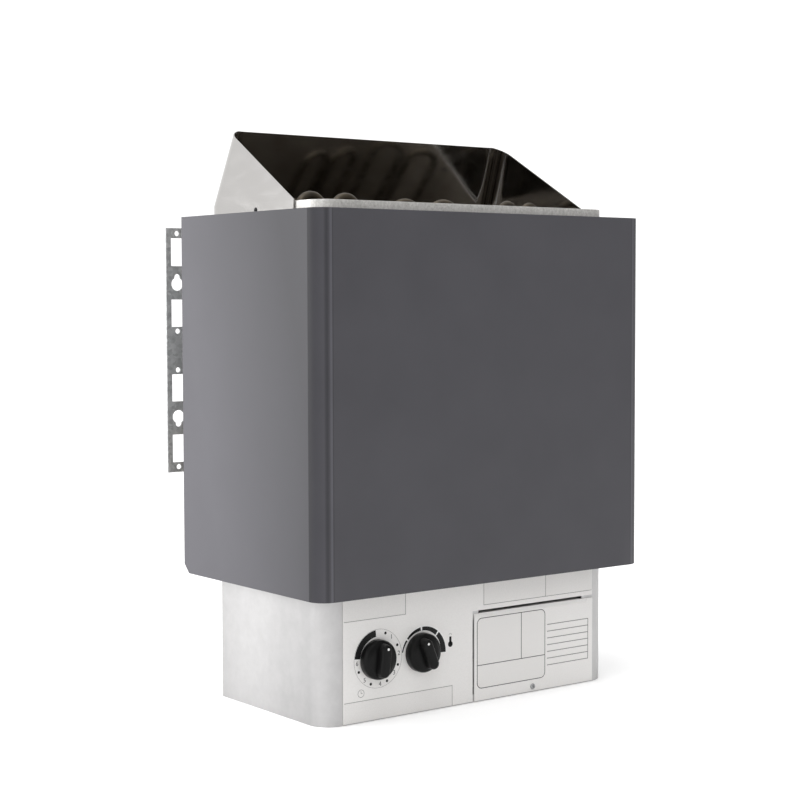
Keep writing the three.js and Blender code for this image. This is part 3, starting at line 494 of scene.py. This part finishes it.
def planCuts(half, front, rear, bend, arcSteps=20, flatStep=20 * mm):
    # distances along the plan, close together round the bends and wider on the flats; and the plan's length
    side = rear - front - bend
    arc = bend * math.pi / 2
    ends = np.cumsum([0, side, arc, 2 * (half - bend), arc, side])
    steps = [max(2, round((b - a) / flatStep)) for a, b in zip(ends[:-1], ends[1:])]
    steps[1] = steps[3] = arcSteps
    runs = [np.linspace(a, b, n + 1) for a, b, n in zip(ends[:-1], ends[1:], steps)]
    return np.concatenate(runs), ends[-1]


def cutsWith(cuts, *more):
    # the cuts and the further ones, in order and each once
    return np.unique(np.concatenate([cuts, *[np.ravel(extra) for extra in more]]).round(8))


def cellCentres(values):
    # halfway between neighbouring cuts
    return (values[:-1] + values[1:]) / 2


def upright(x, y, z):
    # the plan repeated at each height
    shape = (len(z), len(x))
    return np.stack([np.broadcast_to(part, shape) for part in (x, y, z[:, None])], -1)


sheetEdge = {"radius": 0.25 * mm, "segments": 2, "angle": 40}


def addSheet(name, points, along, holes, thickness, material, edge=sheetEdge["radius"], inner=None):
    # points is a grid (rows, columns, 3) on the outer face; holes masks the cells left open; the UV holds the
    # distance from the middle of the sheet and the height
    rows, columns = points.shape[:2]
    i, j = np.meshgrid(np.arange(rows - 1), np.arange(columns - 1), indexing="ij")
    faces = np.stack([i * columns + j, i * columns + j + 1,
                      (i + 1) * columns + j + 1, (i + 1) * columns + j], -1)
    used, back = np.unique(faces[~holes], return_inverse=True)
    flat = points.reshape(-1, 3)[used]
    piece = addPiece(name, flat, back.reshape(-1, 4).tolist(), material, closed=False)
    offset = np.broadcast_to(along - along[-1] / 2, (rows, columns)).reshape(-1)[used]
    corner = np.zeros(len(piece.data.loops), np.int32)
    piece.data.loops.foreach_get("vertex_index", corner)
    layer = piece.data.uv_layers.new(name="sheetPlan")
    layer.data.foreach_set("uv", np.stack([offset, flat[:, 2]], 1)[corner].astype(np.float32).ravel())
    wall = piece.modifiers.new("sheetThickness", "SOLIDIFY")
    wall.thickness = thickness
    wall.offset = -1
    wall.use_even_offset = True
    if inner:
        piece.data.materials.append(inner)
        wall.material_offset = 1
    soften = piece.modifiers.new("softEdges", "BEVEL")
    soften.width = edge
    soften.segments = sheetEdge["segments"]
    soften.limit_method = "ANGLE"
    soften.angle_limit = math.radians(sheetEdge["angle"])
    soften.harden_normals = True
    return piece


jacket = {"bend": 17.5 * mm, "sheet": 1.2 * mm, "cornerCut": 9 * mm, "rows": 13}


def addJacket():
    # the jacket's plan carried up; its lower edge rises over the cut rear corners
    low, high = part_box("outer_jacket")
    s, length = planCuts(high.x, low.y, high.y, jacket["bend"])
    s = cutsWith(s, [jacket["cornerCut"], length - jacket["cornerCut"]])
    x, y = bentPlan(s, high.x, low.y, high.y, jacket["bend"])
    level = np.linspace(0, 1, jacket["rows"])
    bottom = low.z + np.clip(jacket["cornerCut"] - np.minimum(s, length - s), 0, None)
    z = bottom + level[:, None] * (high.z - bottom)
    points = np.stack([np.broadcast_to(x, z.shape), np.broadcast_to(y, z.shape), z], -1)
    closed = np.zeros((len(level) - 1, len(s) - 1), bool)
    piece = addSheet("jacketSheet", points, s, closed, jacket["sheet"], paint)
    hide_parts("outer_jacket")


controlBox = {
    "bend": 22 * mm,
    "sheet": 1.2 * mm,
    "rows": 9,
    "openings": np.array([  # left, right, low, high: the cover's slot, the access behind it, its left joint
        [6, 146, 86, 91.9],
        [14, 146, 14, 76],
        [-2.4, 2.6, 8, 83],
    ]) * mm,
}


def addControlBox():
    # the box's plan carried up, open behind the cover, at the cover's slot and along its left joint
    low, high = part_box("base_shell")
    openings = controlBox["openings"]
    s, length = planCuts(high.x, low.y, high.y, controlBox["bend"])
    s = cutsWith(s, length / 2 + openings[:, :2])
    z = cutsWith(np.linspace(low.z, high.z, controlBox["rows"]), openings[:, 2:])
    x, y = bentPlan(s, high.x, low.y, high.y, controlBox["bend"])
    middleX, middleZ = cellCentres(x), cellCentres(z)[:, None]
    onFront = cellCentres(y) < low.y + near
    inside = [(middleX > a) & (middleX < b) & (middleZ > c) & (middleZ < d) for a, b, c, d in openings]
    holes = onFront & np.any(inside, axis=0)
    points = upright(x, y, z)
    piece = addSheet("controlBoxShell", points, s, holes, controlBox["sheet"], shellSteel)
    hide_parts("base_shell")


stoneBin = {
    "bend": 22 * mm,
    "sheet": 1.2 * mm,
    "rows": 9,
    "inletLow": 142 * mm,
    "inletHigh": 156 * mm,
    "frontInlets": np.array([-140, -65, 10, 85]) * mm,
    "frontInletLong": 55 * mm,
    "sideInlets": np.array([-70, -5]) * mm,
    "sideInletLong": 48 * mm,
}


def addBin():
    # the bin's plan carried up, with air inlets near its foot; darker inside, from heat tint and painted shade
    low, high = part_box("bin_shell")
    across, deep = stoneBin["frontInlets"], stoneBin["sideInlets"]
    wide, long = stoneBin["frontInletLong"], stoneBin["sideInletLong"]
    s, length = planCuts(high.x, low.y, high.y, stoneBin["bend"])
    sideCuts = high.y - np.concatenate([deep, deep + long])
    s = cutsWith(s, length / 2 + across, length / 2 + across + wide, sideCuts, length - sideCuts)
    inletLow, inletHigh = stoneBin["inletLow"], stoneBin["inletHigh"]
    z = cutsWith(np.linspace(low.z, high.z, stoneBin["rows"]), [inletLow, inletHigh])
    x, y = bentPlan(s, high.x, low.y, high.y, stoneBin["bend"])
    middleX, middleY, middleZ = cellCentres(x), cellCentres(y), cellCentres(z)[:, None]
    onFront = middleY < low.y + near
    onSide = np.abs(middleX) > high.x - near
    inFront = np.any([(middleX > a) & (middleX < a + wide) for a in across], axis=0)
    inSide = np.any([(middleY > a) & (middleY < a + long) for a in deep], axis=0)
    band = (middleZ > inletLow) & (middleZ < inletHigh)
    holes = band & ((onFront & inFront) | (onSide & inSide))
    piece = addSheet("stoneBinShell", upright(x, y, z), s, holes, stoneBin["sheet"], rimSteel,
                     inner=binInsideTintAndShade)
    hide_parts("bin_shell")


deflector = {
    "bend": 21 * mm,
    "sheet": 1.0 * mm,
    "kink": 494.4 * mm,
    "lean": 29.4 * mm,
    "wingLean": 6.8 * mm,
    "tipY": -71.4 * mm,
    "tipZ": 495 * mm,
    "footY": -69 * mm,
    "overTop": 1 * mm,  # the slope aims this far above the top edge
    "tipZone": 70 * mm,
    "bendSteps": 24,
    "flatStep": 8 * mm,
    "lowerRows": np.array([0, 0.3, 0.6, 0.9, 0.97, 1.0]),  # shares of the height below the kink
    "upperRows": np.concatenate([[0.012, 0.04], np.linspace(0.1, 1, 14)]),  # and above it
    "edge": 0.2 * mm,
}


def addDeflector():
    # the plan turned round; above the kink the rear wall leans forwards and the wings inwards, and the top
    # edge is the lower of a level line and a slope that rises from the wing's tip
    low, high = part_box("steam_deflector")
    half, rear, kink = high.x, high.y, deflector["kink"]
    tipY, tipZ, footY = deflector["tipY"], deflector["tipZ"], deflector["footY"]
    rise = high.z - kink
    lean = deflector["lean"] / rise
    slope = (high.z + deflector["overTop"] - tipZ) / (rear - deflector["lean"] - tipY)
    steps = deflector["bendSteps"], deflector["flatStep"]
    s = cutsWith(planCuts(half, -rear, -footY, deflector["bend"], *steps)[0])
    x, y = bentPlan(s, half, -rear, -footY, deflector["bend"])
    x, y = x[::-1], -y[::-1]
    forward = np.clip(1 - (y - footY) / deflector["tipZone"], 0, 1) * (tipY - footY)
    top = (tipZ + slope * (y + forward + lean * kink - tipY)) / (1 + slope * lean)
    top = np.clip(top, tipZ, high.z)
    zLower = low.z + deflector["lowerRows"][:, None] * (kink - low.z) + 0 * s
    zUpper = kink + deflector["upperRows"][:, None] * (top - kink)
    z = np.concatenate([zLower, zUpper])
    above = np.clip(z - kink, 0, None)
    yAll = y + forward * np.clip((z - low.z) / (tipZ - low.z), 0, 1) - lean * above
    xAll = x * (1 - deflector["wingLean"] / half * above / rise)
    points = np.stack([xAll, yAll, z], -1)[:, ::-1]
    closed = np.zeros((len(z) - 1, len(s) - 1), bool)
    piece = addSheet("steamDeflectorSheet", points, s, closed, deflector["sheet"], mirrorSteel,
                     deflector["edge"])
    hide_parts("steam_deflector")


addJacket()
addControlBox()
addBin()
addDeflector()
print("sheets ready")


# Turned shapes: a profile of radius and height carried round an axis

def turned(profile, axisPoint, along, steps=48, wave=0.0, folds=0):
    # rings of the profile round a line through axisPoint, height measured in the direction along; wave makes
    # the radius swell and shrink that many folds times per turn, and may differ from ring to ring
    along = np.asarray(along, float)
    mostlyX = abs(along[0]) >= 0.9
    helper = np.array([0, 1.0, 0]) if mostlyX else np.array([1.0, 0, 0])
    first = np.cross(along, helper)
    first /= np.linalg.norm(first)
    second = np.cross(along, first)
    angle = np.linspace(0, 2 * np.pi, steps, endpoint=False)
    radius, height = np.asarray(profile, float).T
    swell = 1 + np.broadcast_to(wave, radius.shape)[:, None] * np.cos(folds * angle)
    spread = radius[:, None] * swell
    return (np.asarray(axisPoint) + height[:, None, None] * along
            + (spread * np.cos(angle))[..., None] * first + (spread * np.sin(angle))[..., None] * second)


# Knobs

knobShape = {
    "radius": 19.1 * mm,
    "skirt": 9.2 * mm,
    "shoulder": 3.4 * mm,
    "crown": 1.7 * mm,
    "height": 18 * mm,
    "gripFoot": 3 * mm,
    "gripHalf": 17.2 * mm,
    "gripWide": 13 * mm,
    "gripNarrow": 10.5 * mm,
    "gripShorter": 0.9,
    "round": 2.2 * mm,
    "dotRadius": 1.25 * mm,
    "dotAt": 11.8 * mm,
    "dotHigh": 0.35 * mm,
    "dotDome": (0.8, 1.4, 1.6),  # shares: the flat's radius, its height and the top's
    "footRound": 0.4 * mm,
    "curveSteps": 7,
    "roundSteps": 6,
    "skirtSides": 72,
    "gripSides": 56,
    "dotSides": 28,
    "sharpAngle": 50,
}
knobTurns = {"timer": -7, "thermostat": 22}  # degrees from straight up, positive to the left


def addKnob(name, turnDegrees):
    # a turned skirt, a lofted grip bar whose rings shrink upwards and round off, and a pointer dot
    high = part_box(name + "_knob")[1]
    place = jointPlace(name + "_turn")
    axis = np.array([place[0], high.y, place[2]])
    forward = np.array([0, -1.0, 0])
    body = name + "_dial"
    r, skirt, shoulder = knobShape["radius"], knobShape["skirt"], knobShape["shoulder"]
    curve = np.linspace(0, np.pi / 2, knobShape["curveSteps"])
    edge = np.stack([r - shoulder * (1 - np.cos(curve)), skirt - shoulder * (1 - np.sin(curve))], 1)
    swell = curve[::-1][1:]
    crown = np.stack([(r - shoulder) * np.sin(swell), skirt + knobShape["crown"] * np.cos(swell)], 1)
    toe, sharp = knobShape["footRound"], knobShape["sharpAngle"]
    profile = np.concatenate([[[0, 0], [r - toe, 0], [r, toe]], edge, crown])
    points, faces = loftParts([turned(profile, axis, forward, knobShape["skirtSides"])])
    piece = addPiece(name + "KnobSkirt", points, faces, knobBlack, body, sharp)
    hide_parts(name + "_knob")
    turn = math.radians(turnDegrees)
    across = np.array([math.cos(turn), 0, math.sin(turn)])
    pointer = np.array([-math.sin(turn), 0, math.cos(turn)])
    height, soft, foot = knobShape["height"], knobShape["round"], knobShape["gripFoot"]
    ease = np.linspace(0, np.pi / 2, knobShape["roundSteps"])
    levels = np.concatenate([[foot, (foot + height) / 2], height - soft + soft * np.sin(ease)])
    shrink = np.concatenate([[0, 0], soft * (1 - np.cos(ease))])
    share = (levels - foot) / (height - foot)
    wide = knobShape["gripWide"] / 2 + share * (knobShape["gripNarrow"] - knobShape["gripWide"]) / 2 - shrink
    long = knobShape["gripHalf"] * (1 - share * (1 - knobShape["gripShorter"])) - shrink
    around = np.linspace(0, 2 * np.pi, knobShape["gripSides"], endpoint=False)
    u = wide[:, None] * np.cos(around)
    v = wide[:, None] * np.sin(around) + np.sign(np.sin(around)) * (long - wide)[:, None]
    rings = axis + levels[:, None, None] * forward + u[..., None] * across + v[..., None] * pointer
    points, faces = loftParts([rings])
    addPiece(name + "KnobGrip", points, faces, knobBlack, body, sharp)
    d, proud = knobShape["dotRadius"], knobShape["dotHigh"]
    dotPlace = axis + (height - proud) * forward + knobShape["dotAt"] * pointer
    flat, edgeHigh, topHigh = knobShape["dotDome"]
    dotProfile = [[0, 0], [d, 0], [d, proud], [d * flat, proud * edgeHigh], [0, proud * topHigh]]
    points, faces = loftParts([turned(dotProfile, dotPlace, forward, knobShape["dotSides"])])
    addPiece(name + "KnobDot", points, faces, dotWhite, body)


for knobName, knobTurn in knobTurns.items():
    addKnob(knobName, knobTurn)
print("knobs ready")


# Printing: thin ink strips between two edge lines, in X and Z, standing a little proud of a face

ink = {
    "top": 0.06 * mm,
    "under": 0.03 * mm,
    "sunk": 0.05 * mm,
    "line": 0.5 * mm,
    "outline": 0.7 * mm,
    "fontShare": 1.35,  # font size for a figure's height
}
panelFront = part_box("control_panel")[0].y
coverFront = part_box("terminal_cover")[0].y


def strip(first, second, front, lift=ink["top"]):
    # an ink strip between two lines of equally many points
    rings = []
    for line, y in ((first, front - lift), (second, front - lift),
                    (second, front + ink["sunk"]), (first, front + ink["sunk"])):
        line = np.asarray(line, float)
        rings.append(np.stack([line[:, 0], np.full(len(line), y), line[:, 1]], 1))
    return np.stack(rings, 1)


def barStrip(x0, x1, z0, z1, front, lift=ink["top"]):
    # a bar between its lower and its upper edge
    return strip([[x0, z0], [x1, z0]], [[x0, z1], [x1, z1]], front, lift)


def ringStrip(centre, innerR, outerR, startDegrees, endDegrees, front, steps=40, lift=ink["top"]):
    # a band between two radii, either of which may change along it
    angle = np.radians(np.linspace(startDegrees, endDegrees, steps))
    circle = np.stack([np.cos(angle), np.sin(angle)], 1)
    inner = np.broadcast_to(innerR, angle.shape)[:, None] * circle + centre
    outer = np.broadcast_to(outerR, angle.shape)[:, None] * circle + centre
    return strip(inner, outer, front, lift)


def discStrip(centre, radius, front, steps=20):
    # a disc between its upper and its lower half circle
    angle = np.linspace(0, np.pi, steps)
    upper = np.stack([np.cos(angle), np.sin(angle)], 1) * radius + centre
    lower = np.stack([np.cos(angle), -np.sin(angle)], 1) * radius + centre
    return strip(upper, lower, front)


def addInk(name, parts, material):
    # one printed piece from several strips
    points, faces = loftParts(parts)
    return addPiece(name, points, faces, material)


timerScale = {
    "offset": (2.7 * mm, 0),
    "dotRing": 25.1 * mm,
    "dotRadius": 1.4 * mm,
    "firstDot": 69.6,
    "dots": 6,
    "step": 45,
    "band": (21.2 * mm, 27.8 * mm),
    "bandSpan": (96, 175),
    "groundMargin": 1.5,  # degrees
    "ring": 28.4 * mm,
    "ringLine": 0.25 * mm,
    "numberHigh": 4.6 * mm,
    "numberRing": 24.9 * mm,
    "firstNumber": 50,
}


def addTimerScale():
    # a thin ring round black dots, grey figures and a black band with a white outline, a little off the
    # knob's axis
    place = jointPlace("timer_turn")
    centre = np.array([place[0], place[2]]) + timerScale["offset"]
    outer, line = timerScale["ring"], ink["outline"]
    rim = [ringStrip(centre, outer - timerScale["ringLine"], outer, 0, 360, panelFront, steps=97)]
    addInk("timerScaleRim", rim, greyInk)
    dots = np.radians(timerScale["firstDot"] - timerScale["step"] * np.arange(timerScale["dots"]))
    places = centre + timerScale["dotRing"] * np.stack([np.cos(dots), np.sin(dots)], 1)
    parts = [discStrip(spot, timerScale["dotRadius"], panelFront) for spot in places]
    bandInner, bandOuter = timerScale["band"]
    start, end = timerScale["bandSpan"]
    parts.append(ringStrip(centre, bandInner, bandOuter, start, end, panelFront))
    addInk("timerScalePrint", parts, blackInk)
    margin = timerScale["groundMargin"]
    ground = ringStrip(centre, bandInner - line, bandOuter + line, start - margin, end + margin, panelFront,
                       lift=ink["under"])
    addInk("timerBandGround", [ground], whiteInk)
    for i in range(timerScale["dots"]):
        angle = math.radians(timerScale["firstNumber"] - timerScale["step"] * i)
        spot = centre + timerScale["numberRing"] * np.array([math.cos(angle), math.sin(angle)])
        addNumber(f"timerNumber{i + 1}", str(i + 1), spot, timerScale["numberHigh"])


def addNumber(name, text, spot, high):
    # a plain figure, made a mesh, centred on its place on the panel
    curve = bpy.data.curves.new(name, "FONT")
    curve.body = text
    curve.size = high * ink["fontShare"]
    curve.extrude = ink["top"] / 2
    curve.align_x = "CENTER"
    curve.align_y = "CENTER"
    holder = bpy.data.objects.new(name + "Curve", curve)
    bpy.context.scene.collection.objects.link(holder)
    bpy.context.view_layer.update()
    mesh = bpy.data.meshes.new_from_object(holder.evaluated_get(bpy.context.evaluated_depsgraph_get()))
    bpy.data.objects.remove(holder)
    flat = np.zeros(len(mesh.vertices) * 3)
    mesh.vertices.foreach_get("co", flat)
    flat = flat.reshape(-1, 3)
    level = panelFront - ink["top"] / 2
    points = np.stack([flat[:, 0] + spot[0], level - flat[:, 2], flat[:, 1] + spot[1]], 1)
    faces = [list(polygon.vertices) for polygon in mesh.polygons]
    bpy.data.meshes.remove(mesh)
    addPiece(name, points, faces, darkInk)


thermostatScale = {
    "offset": (3.9 * mm, -2.8 * mm),
    "outer": 27.2 * mm,
    "span": (170, -2),
    "thin": 1.3 * mm,
    "thick": 6.5 * mm,
    "gaps": [141, 96.5, 48.7],
    "gapHalf": 1.9,
    "groundMargins": (1, 1.5),  # degrees at the thin and the thick end
    "steps": 24,
    "groundSteps": 60,
}


def addThermostatScale():
    # a band that widens from left to right, broken by gaps, on a white ground a little off the knob's axis
    place = jointPlace("thermostat_turn")
    centre = np.array([place[0], place[2]]) + thermostatScale["offset"]
    start, end = thermostatScale["span"]
    thin, thick, outer = thermostatScale["thin"], thermostatScale["thick"], thermostatScale["outer"]
    steps, groundSteps = thermostatScale["steps"], thermostatScale["groundSteps"]
    stops = [start]
    for gap in thermostatScale["gaps"]:
        stops += [gap + thermostatScale["gapHalf"], gap - thermostatScale["gapHalf"]]
    stops.append(end)
    parts = []
    for a, b in zip(stops[::2], stops[1::2]):
        share = (start - np.linspace(a, b, steps)) / (start - end)
        parts.append(ringStrip(centre, outer - thin - share * (thick - thin), outer, a, b, panelFront, steps))
    addInk("thermostatScalePrint", parts, blackInk)
    line = ink["outline"]
    before, after = thermostatScale["groundMargins"]
    inner = outer - thin - np.linspace(0, 1, groundSteps) * (thick - thin)
    ground = ringStrip(centre, inner - line, outer + line, start + before, end - after, panelFront,
                       groundSteps, ink["under"])
    addInk("thermostatScaleGround", [ground], whiteInk)


icons = {
    "thermometer": (-30.8 * mm, 62.6 * mm),
    "bulb": 2.9 * mm,
    "stemHalf": 1.4 * mm,
    "stemHigh": 7.5 * mm,
    "clock": (-139.5 * mm, 28.3 * mm),
    "clockRadius": 3.8 * mm,
    "clockLine": 0.4 * mm,
    "clockHands": (0.6, 0.5),  # shares of the radius
    "capGap": 1.6 * mm,
    "capLine": 0.3 * mm,
}


def addIcons():
    # a thermometer and a clock face, from discs, rings and bars
    x, z = icons["thermometer"]
    stem, top = icons["stemHalf"], z + icons["stemHigh"]
    addInk("thermometerPrint", [discStrip((x, z), icons["bulb"], panelFront),
                                barStrip(x - stem, x + stem, z, top, panelFront)], blackInk)
    capCentre = (x, top + icons["capGap"])
    cap = ringStrip(capCentre, stem, stem + icons["capLine"], 0, 180, panelFront, steps=16)
    addInk("thermometerTopPrint", [cap], greyInk)
    cx, cz = icons["clock"]
    radius, line = icons["clockRadius"], icons["clockLine"]
    minute, hour = (radius * share for share in icons["clockHands"])
    hands = [barStrip(cx - line / 2, cx + line / 2, cz, cz + minute, panelFront),
             barStrip(cx, cx + hour, cz - line / 2, cz + line / 2, panelFront)]
    face = ringStrip((cx, cz), radius - line, radius, 0, 360, panelFront, steps=49)
    addInk("clockPrint", [face] + hands, greyInk)


panelFrames = {
    "upperLeft": (-159.1 * mm, -85.9 * mm, 98.1 * mm),  # left, right, base
    "lowerLeft": (-159.1 * mm, -28.3 * mm, 21.3 * mm),  # left, right, top
    "upperRight": (11.9 * mm, 94.5 * mm, 159.4 * mm, 96.5 * mm),  # left, divider, right, base
}


def addPanelFrames():
    # ruled boxes at the panel's edges, bare inside, with a paler ground
    low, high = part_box("control_panel")
    line, front = ink["line"], panelFront
    left, right, base = panelFrames["upperLeft"]
    lowLeft, lowRight, top = panelFrames["lowerLeft"]
    farLeft, divider, farRight, farBase = panelFrames["upperRight"]
    addInk("panelFrameLines", [
        barStrip(left, right, base, base + line, front),
        barStrip(right - line, right, base, high.z, front),
        barStrip(lowLeft, lowRight, top - line, top, front),
        barStrip(lowRight - line, lowRight, low.z, top, front),
        barStrip(farLeft, farRight, farBase, farBase + line, front),
        barStrip(farLeft, farLeft + line, farBase, high.z, front),
        barStrip(divider, divider + line, farBase, high.z, front),
    ], greyInk)
    addInk("panelFrameGrounds", [
        barStrip(left, right, base, high.z, front, ink["under"]),
        barStrip(farLeft, farRight, farBase, high.z, front, ink["under"]),
        barStrip(lowLeft, lowRight, low.z, top, front, ink["under"]),
    ], paleInk)


coverFrames = {
    "frame": (2.8 * mm, 93.8 * mm, 13 * mm, 84.2 * mm),  # left, right, low, high
    "corner": 6 * mm,
    "cornerSteps": 12,
    "groundSteps": 9,
    "divider": 36.2 * mm,
    "upright": 61 * mm,
    "table": (96.4 * mm, 154 * mm, 25 * mm, 67 * mm),  # left, right, low, high
    "rows": 6,
    "line": 0.75 * mm,
}


def addCoverFrames():
    # a rounded frame with two dividers and a ruled table, all bare
    x0, x1, z0, z1 = coverFrames["frame"]
    line, front, r = coverFrames["line"], coverFront, coverFrames["corner"]
    divider, middle = coverFrames["divider"], coverFrames["upright"]
    parts = [
        barStrip(x0 + r, x1 - r, z0, z0 + line, front),
        barStrip(x0 + r, x1 - r, z1 - line, z1, front),
        barStrip(x0, x0 + line, z0 + r, z1 - r, front),
        barStrip(x1 - line, x1, z0 + r, z1 - r, front),
        barStrip(x0, x1, divider, divider + line, front),
        barStrip(middle, middle + line, divider, z1, front),
    ]
    corners = [(x1 - r, z1 - r), (x0 + r, z1 - r), (x0 + r, z0 + r), (x1 - r, z0 + r)]
    for quarter, corner in enumerate(corners):
        start = quarter * 90
        parts.append(ringStrip(corner, r - line, r, start, start + 90, front, coverFrames["cornerSteps"]))
    addInk("coverFrameLines", parts, darkInk)
    curve = np.linspace(0, np.pi / 2, coverFrames["groundSteps"])
    inset, drop = r * (1 - np.cos(curve)), r * (1 - np.sin(curve))
    along = np.concatenate([x0 + inset, (x1 - inset)[::-1]])
    bow = np.concatenate([drop, drop[::-1]])
    ground = strip(np.stack([along, z0 + bow], 1), np.stack([along, z1 - bow], 1), front, ink["under"])
    addInk("coverFrameGround", [ground], paleInk)
    tx0, tx1, tz0, tz1 = coverFrames["table"]
    rules = [barStrip(tx0, tx1, z, z + line, front) for z in np.linspace(tz0, tz1, coverFrames["rows"] + 1)]
    addInk("coverTableLines", rules + [barStrip(tx1 - line, tx1, tz0, tz1, front)], greyInk)


addTimerScale()
addThermostatScale()
addIcons()
addPanelFrames()
addCoverFrames()
print("printing ready")


# Heating elements

element = {
    "tube": 4.25 * mm,
    "loop": 16.5 * mm,
    "spacing": 44 * mm,
    "dip": 193 * mm,
    "bushing": 6.8 * mm,
    "bushingLow": 116 * mm,
    "hex": 11 * mm,
    "hexHigh": 6 * mm,
    "hexRound": 0.8 * mm,
    "hexTop": 0.9,  # share of the radius
    "seatGap": 0.3 * mm,
    "collarUp": 2 * mm,
    "arcSteps": 25,
    "legSteps": 11,
    "turns": {"left": 6, "middle": -12, "right": 17},
}


def sweptTube(stations, level, radius, sides=20):
    # a circle carried along stations that lie in one upright plane; level is square to that plane
    tangent = np.gradient(stations, axis=0)
    tangent /= np.linalg.norm(tangent, axis=1)[:, None]
    other = np.cross(tangent, level)
    angle = np.linspace(0, 2 * np.pi, sides, endpoint=False)
    return (stations[:, None] + radius * np.cos(angle)[None, :, None] * level
            + radius * np.sin(angle)[None, :, None] * other[:, None])


def addElement(name, turnDegrees):
    # four legs, two upper bends and one lower bend, with a hexagonal bushing on each outer leg
    low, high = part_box("heating_element_" + name)
    tube, loop, half = element["tube"], element["loop"], element["spacing"] / 2
    inner = half - loop
    leg = half + loop
    top = high.z - tube - loop
    dip = element["dip"] + tube + inner
    arc = np.linspace(np.pi, 0, element["arcSteps"])
    rise = np.linspace(low.z, top, element["legSteps"] + 1)[:-1]
    u = np.concatenate([-leg + 0 * rise, loop * np.cos(arc) - half, inner * np.cos(arc),
                        loop * np.cos(arc) + half, leg + 0 * rise])
    z = np.concatenate([rise, top + loop * np.sin(arc), dip - inner * np.sin(arc),
                        top + loop * np.sin(arc), rise[::-1]])
    turn = math.radians(turnDegrees)
    middle = (low + high) / 2
    stations = np.stack([middle.x + u * math.cos(turn), middle.y + u * math.sin(turn), z], 1)
    parts = [sweptTube(stations, np.array([-math.sin(turn), math.cos(turn), 0]), tube)]
    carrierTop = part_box("element_carrier")[1].z
    up = (0, 0, 1)
    r, h, base = element["bushing"], element["hex"], element["bushingLow"]
    seat, crown = carrierTop + element["seatGap"], carrierTop + element["hexHigh"]
    neck, edge = seat + element["collarUp"], crown - element["hexRound"]
    for end in (stations[0], stations[-1]):
        foot = np.array([end[0], end[1], 0])
        collar = [[0, base], [r, base], [r, neck], [0, neck]]
        nut = [[0, seat], [h, seat], [h, edge], [h * element["hexTop"], crown], [0, crown]]
        parts += [turned(collar, foot, up, steps=32), turned(nut, foot, up, steps=6)]
    points, faces = loftParts(parts)
    piece = addPiece("heatingElementTube_" + name, points, faces, elementSheath)
    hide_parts("heating_element_" + name)


for elementName, elementTurn in element["turns"].items():
    addElement(elementName, elementTurn)
print("elements ready")


# Screws with domed heads and cross recesses

screwHeadings = {
    "cover_screw": (0, -1, 0),
    "deflector_screw_left": (-1, 0, 0),
    "deflector_screw_right": (1, 0, 0),
    "hanger_screw_left_lower": (0, 1, 0),
    "hanger_screw_left_upper": (0, 1, 0),
    "hanger_screw_right_lower": (0, 1, 0),
    "hanger_screw_right_upper": (0, 1, 0),
    "rack_lock_screw_left": (-1, 0, 0),
    "rack_lock_screw_right": (1, 0, 0),
}
screwShape = {  # shares of the head's radius, apart from those noted
    "shank": 0.58,
    "tall": 0.55,
    "recess": 0.45,
    "recessDeep": 0.7,  # of the head's height
    "recessFloor": 0.9,  # of the recess's own radius
    "recessLip": 0.02 * mm,
    "cross": 0.25,  # of the recess's radius
    "lobes": 4,
    "domeSteps": 8,
}


def addScrew(name, heading, finish):
    # a shank, a head rounded to a quarter ellipse and a four-lobed recess, turned about the screw's own axis
    low, high = (np.array(corner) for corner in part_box(name))
    axis = int(np.argmax(np.abs(heading)))
    length = (high - low)[axis]
    head = np.delete(high - low, axis).max() / 2
    tip = (low + high) / 2 + np.array(heading) * length / 2
    shank, tall, recess = (head * screwShape[key] for key in ("shank", "tall", "recess"))
    deep = tall * screwShape["recessDeep"]
    curve = np.linspace(0, np.pi / 2, screwShape["domeSteps"])
    dome = np.stack([recess + (head - recess) * np.cos(curve), tall * (np.sin(curve) - 1)], 1)
    cross = screwShape["cross"]
    inner = recess * (1 - cross)
    bottom = inner * screwShape["recessFloor"]
    profile = np.concatenate([[[0, -length], [shank, -length], [shank, -tall]], dome,
                              [[inner, -screwShape["recessLip"]], [bottom, -deep], [0, -deep]]])
    wave = np.concatenate([np.zeros(len(profile) - 3), [cross, cross, 0]])
    points, faces = loftParts([turned(profile, tip, heading, wave=wave, folds=screwShape["lobes"])])
    piece = addPiece("domed_" + name, points, faces, finish)
    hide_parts(name)


for screwName, screwHeading in screwHeadings.items():
    addScrew(screwName, screwHeading, blackenedSteel if "deflector" in screwName else zincPlate)
print("screws ready")


# Finishes of the solids that stay as they are

finishOfSlot = {
    "galvanised": zincSheet,
    "stainless": boxSteel,
    "panel": panelSheet,
    "zinc": zincPlate,
    "brass": turnedBrass,
    "ceramic": steatite,
    "control_plastic": unitBlack,
    "copper": copperTube,
    "silicone": siliconeSleeve,
    "reset_red": resetRed,
    "black_plastic": glandBlack,
    "jacket_paint": paint,
    "mirror_steel": mirrorSteel,
    "element_steel": elementSheath,
}
# these parts take the darker bin inside: heat tint and painted shade
tintedAndShadedParts = ("bin_back", "bin_floor", "sensor_clip")
for row in frame["record"]["subparts"]:
    solid = nodes[row["node"]]
    finish = binInsideTintAndShade if row["node"] in tintedAndShadedParts else finishOfSlot[row["material_slot"]]
    solid.data.materials.clear()
    solid.data.materials.append(finish)
print("solids finished")
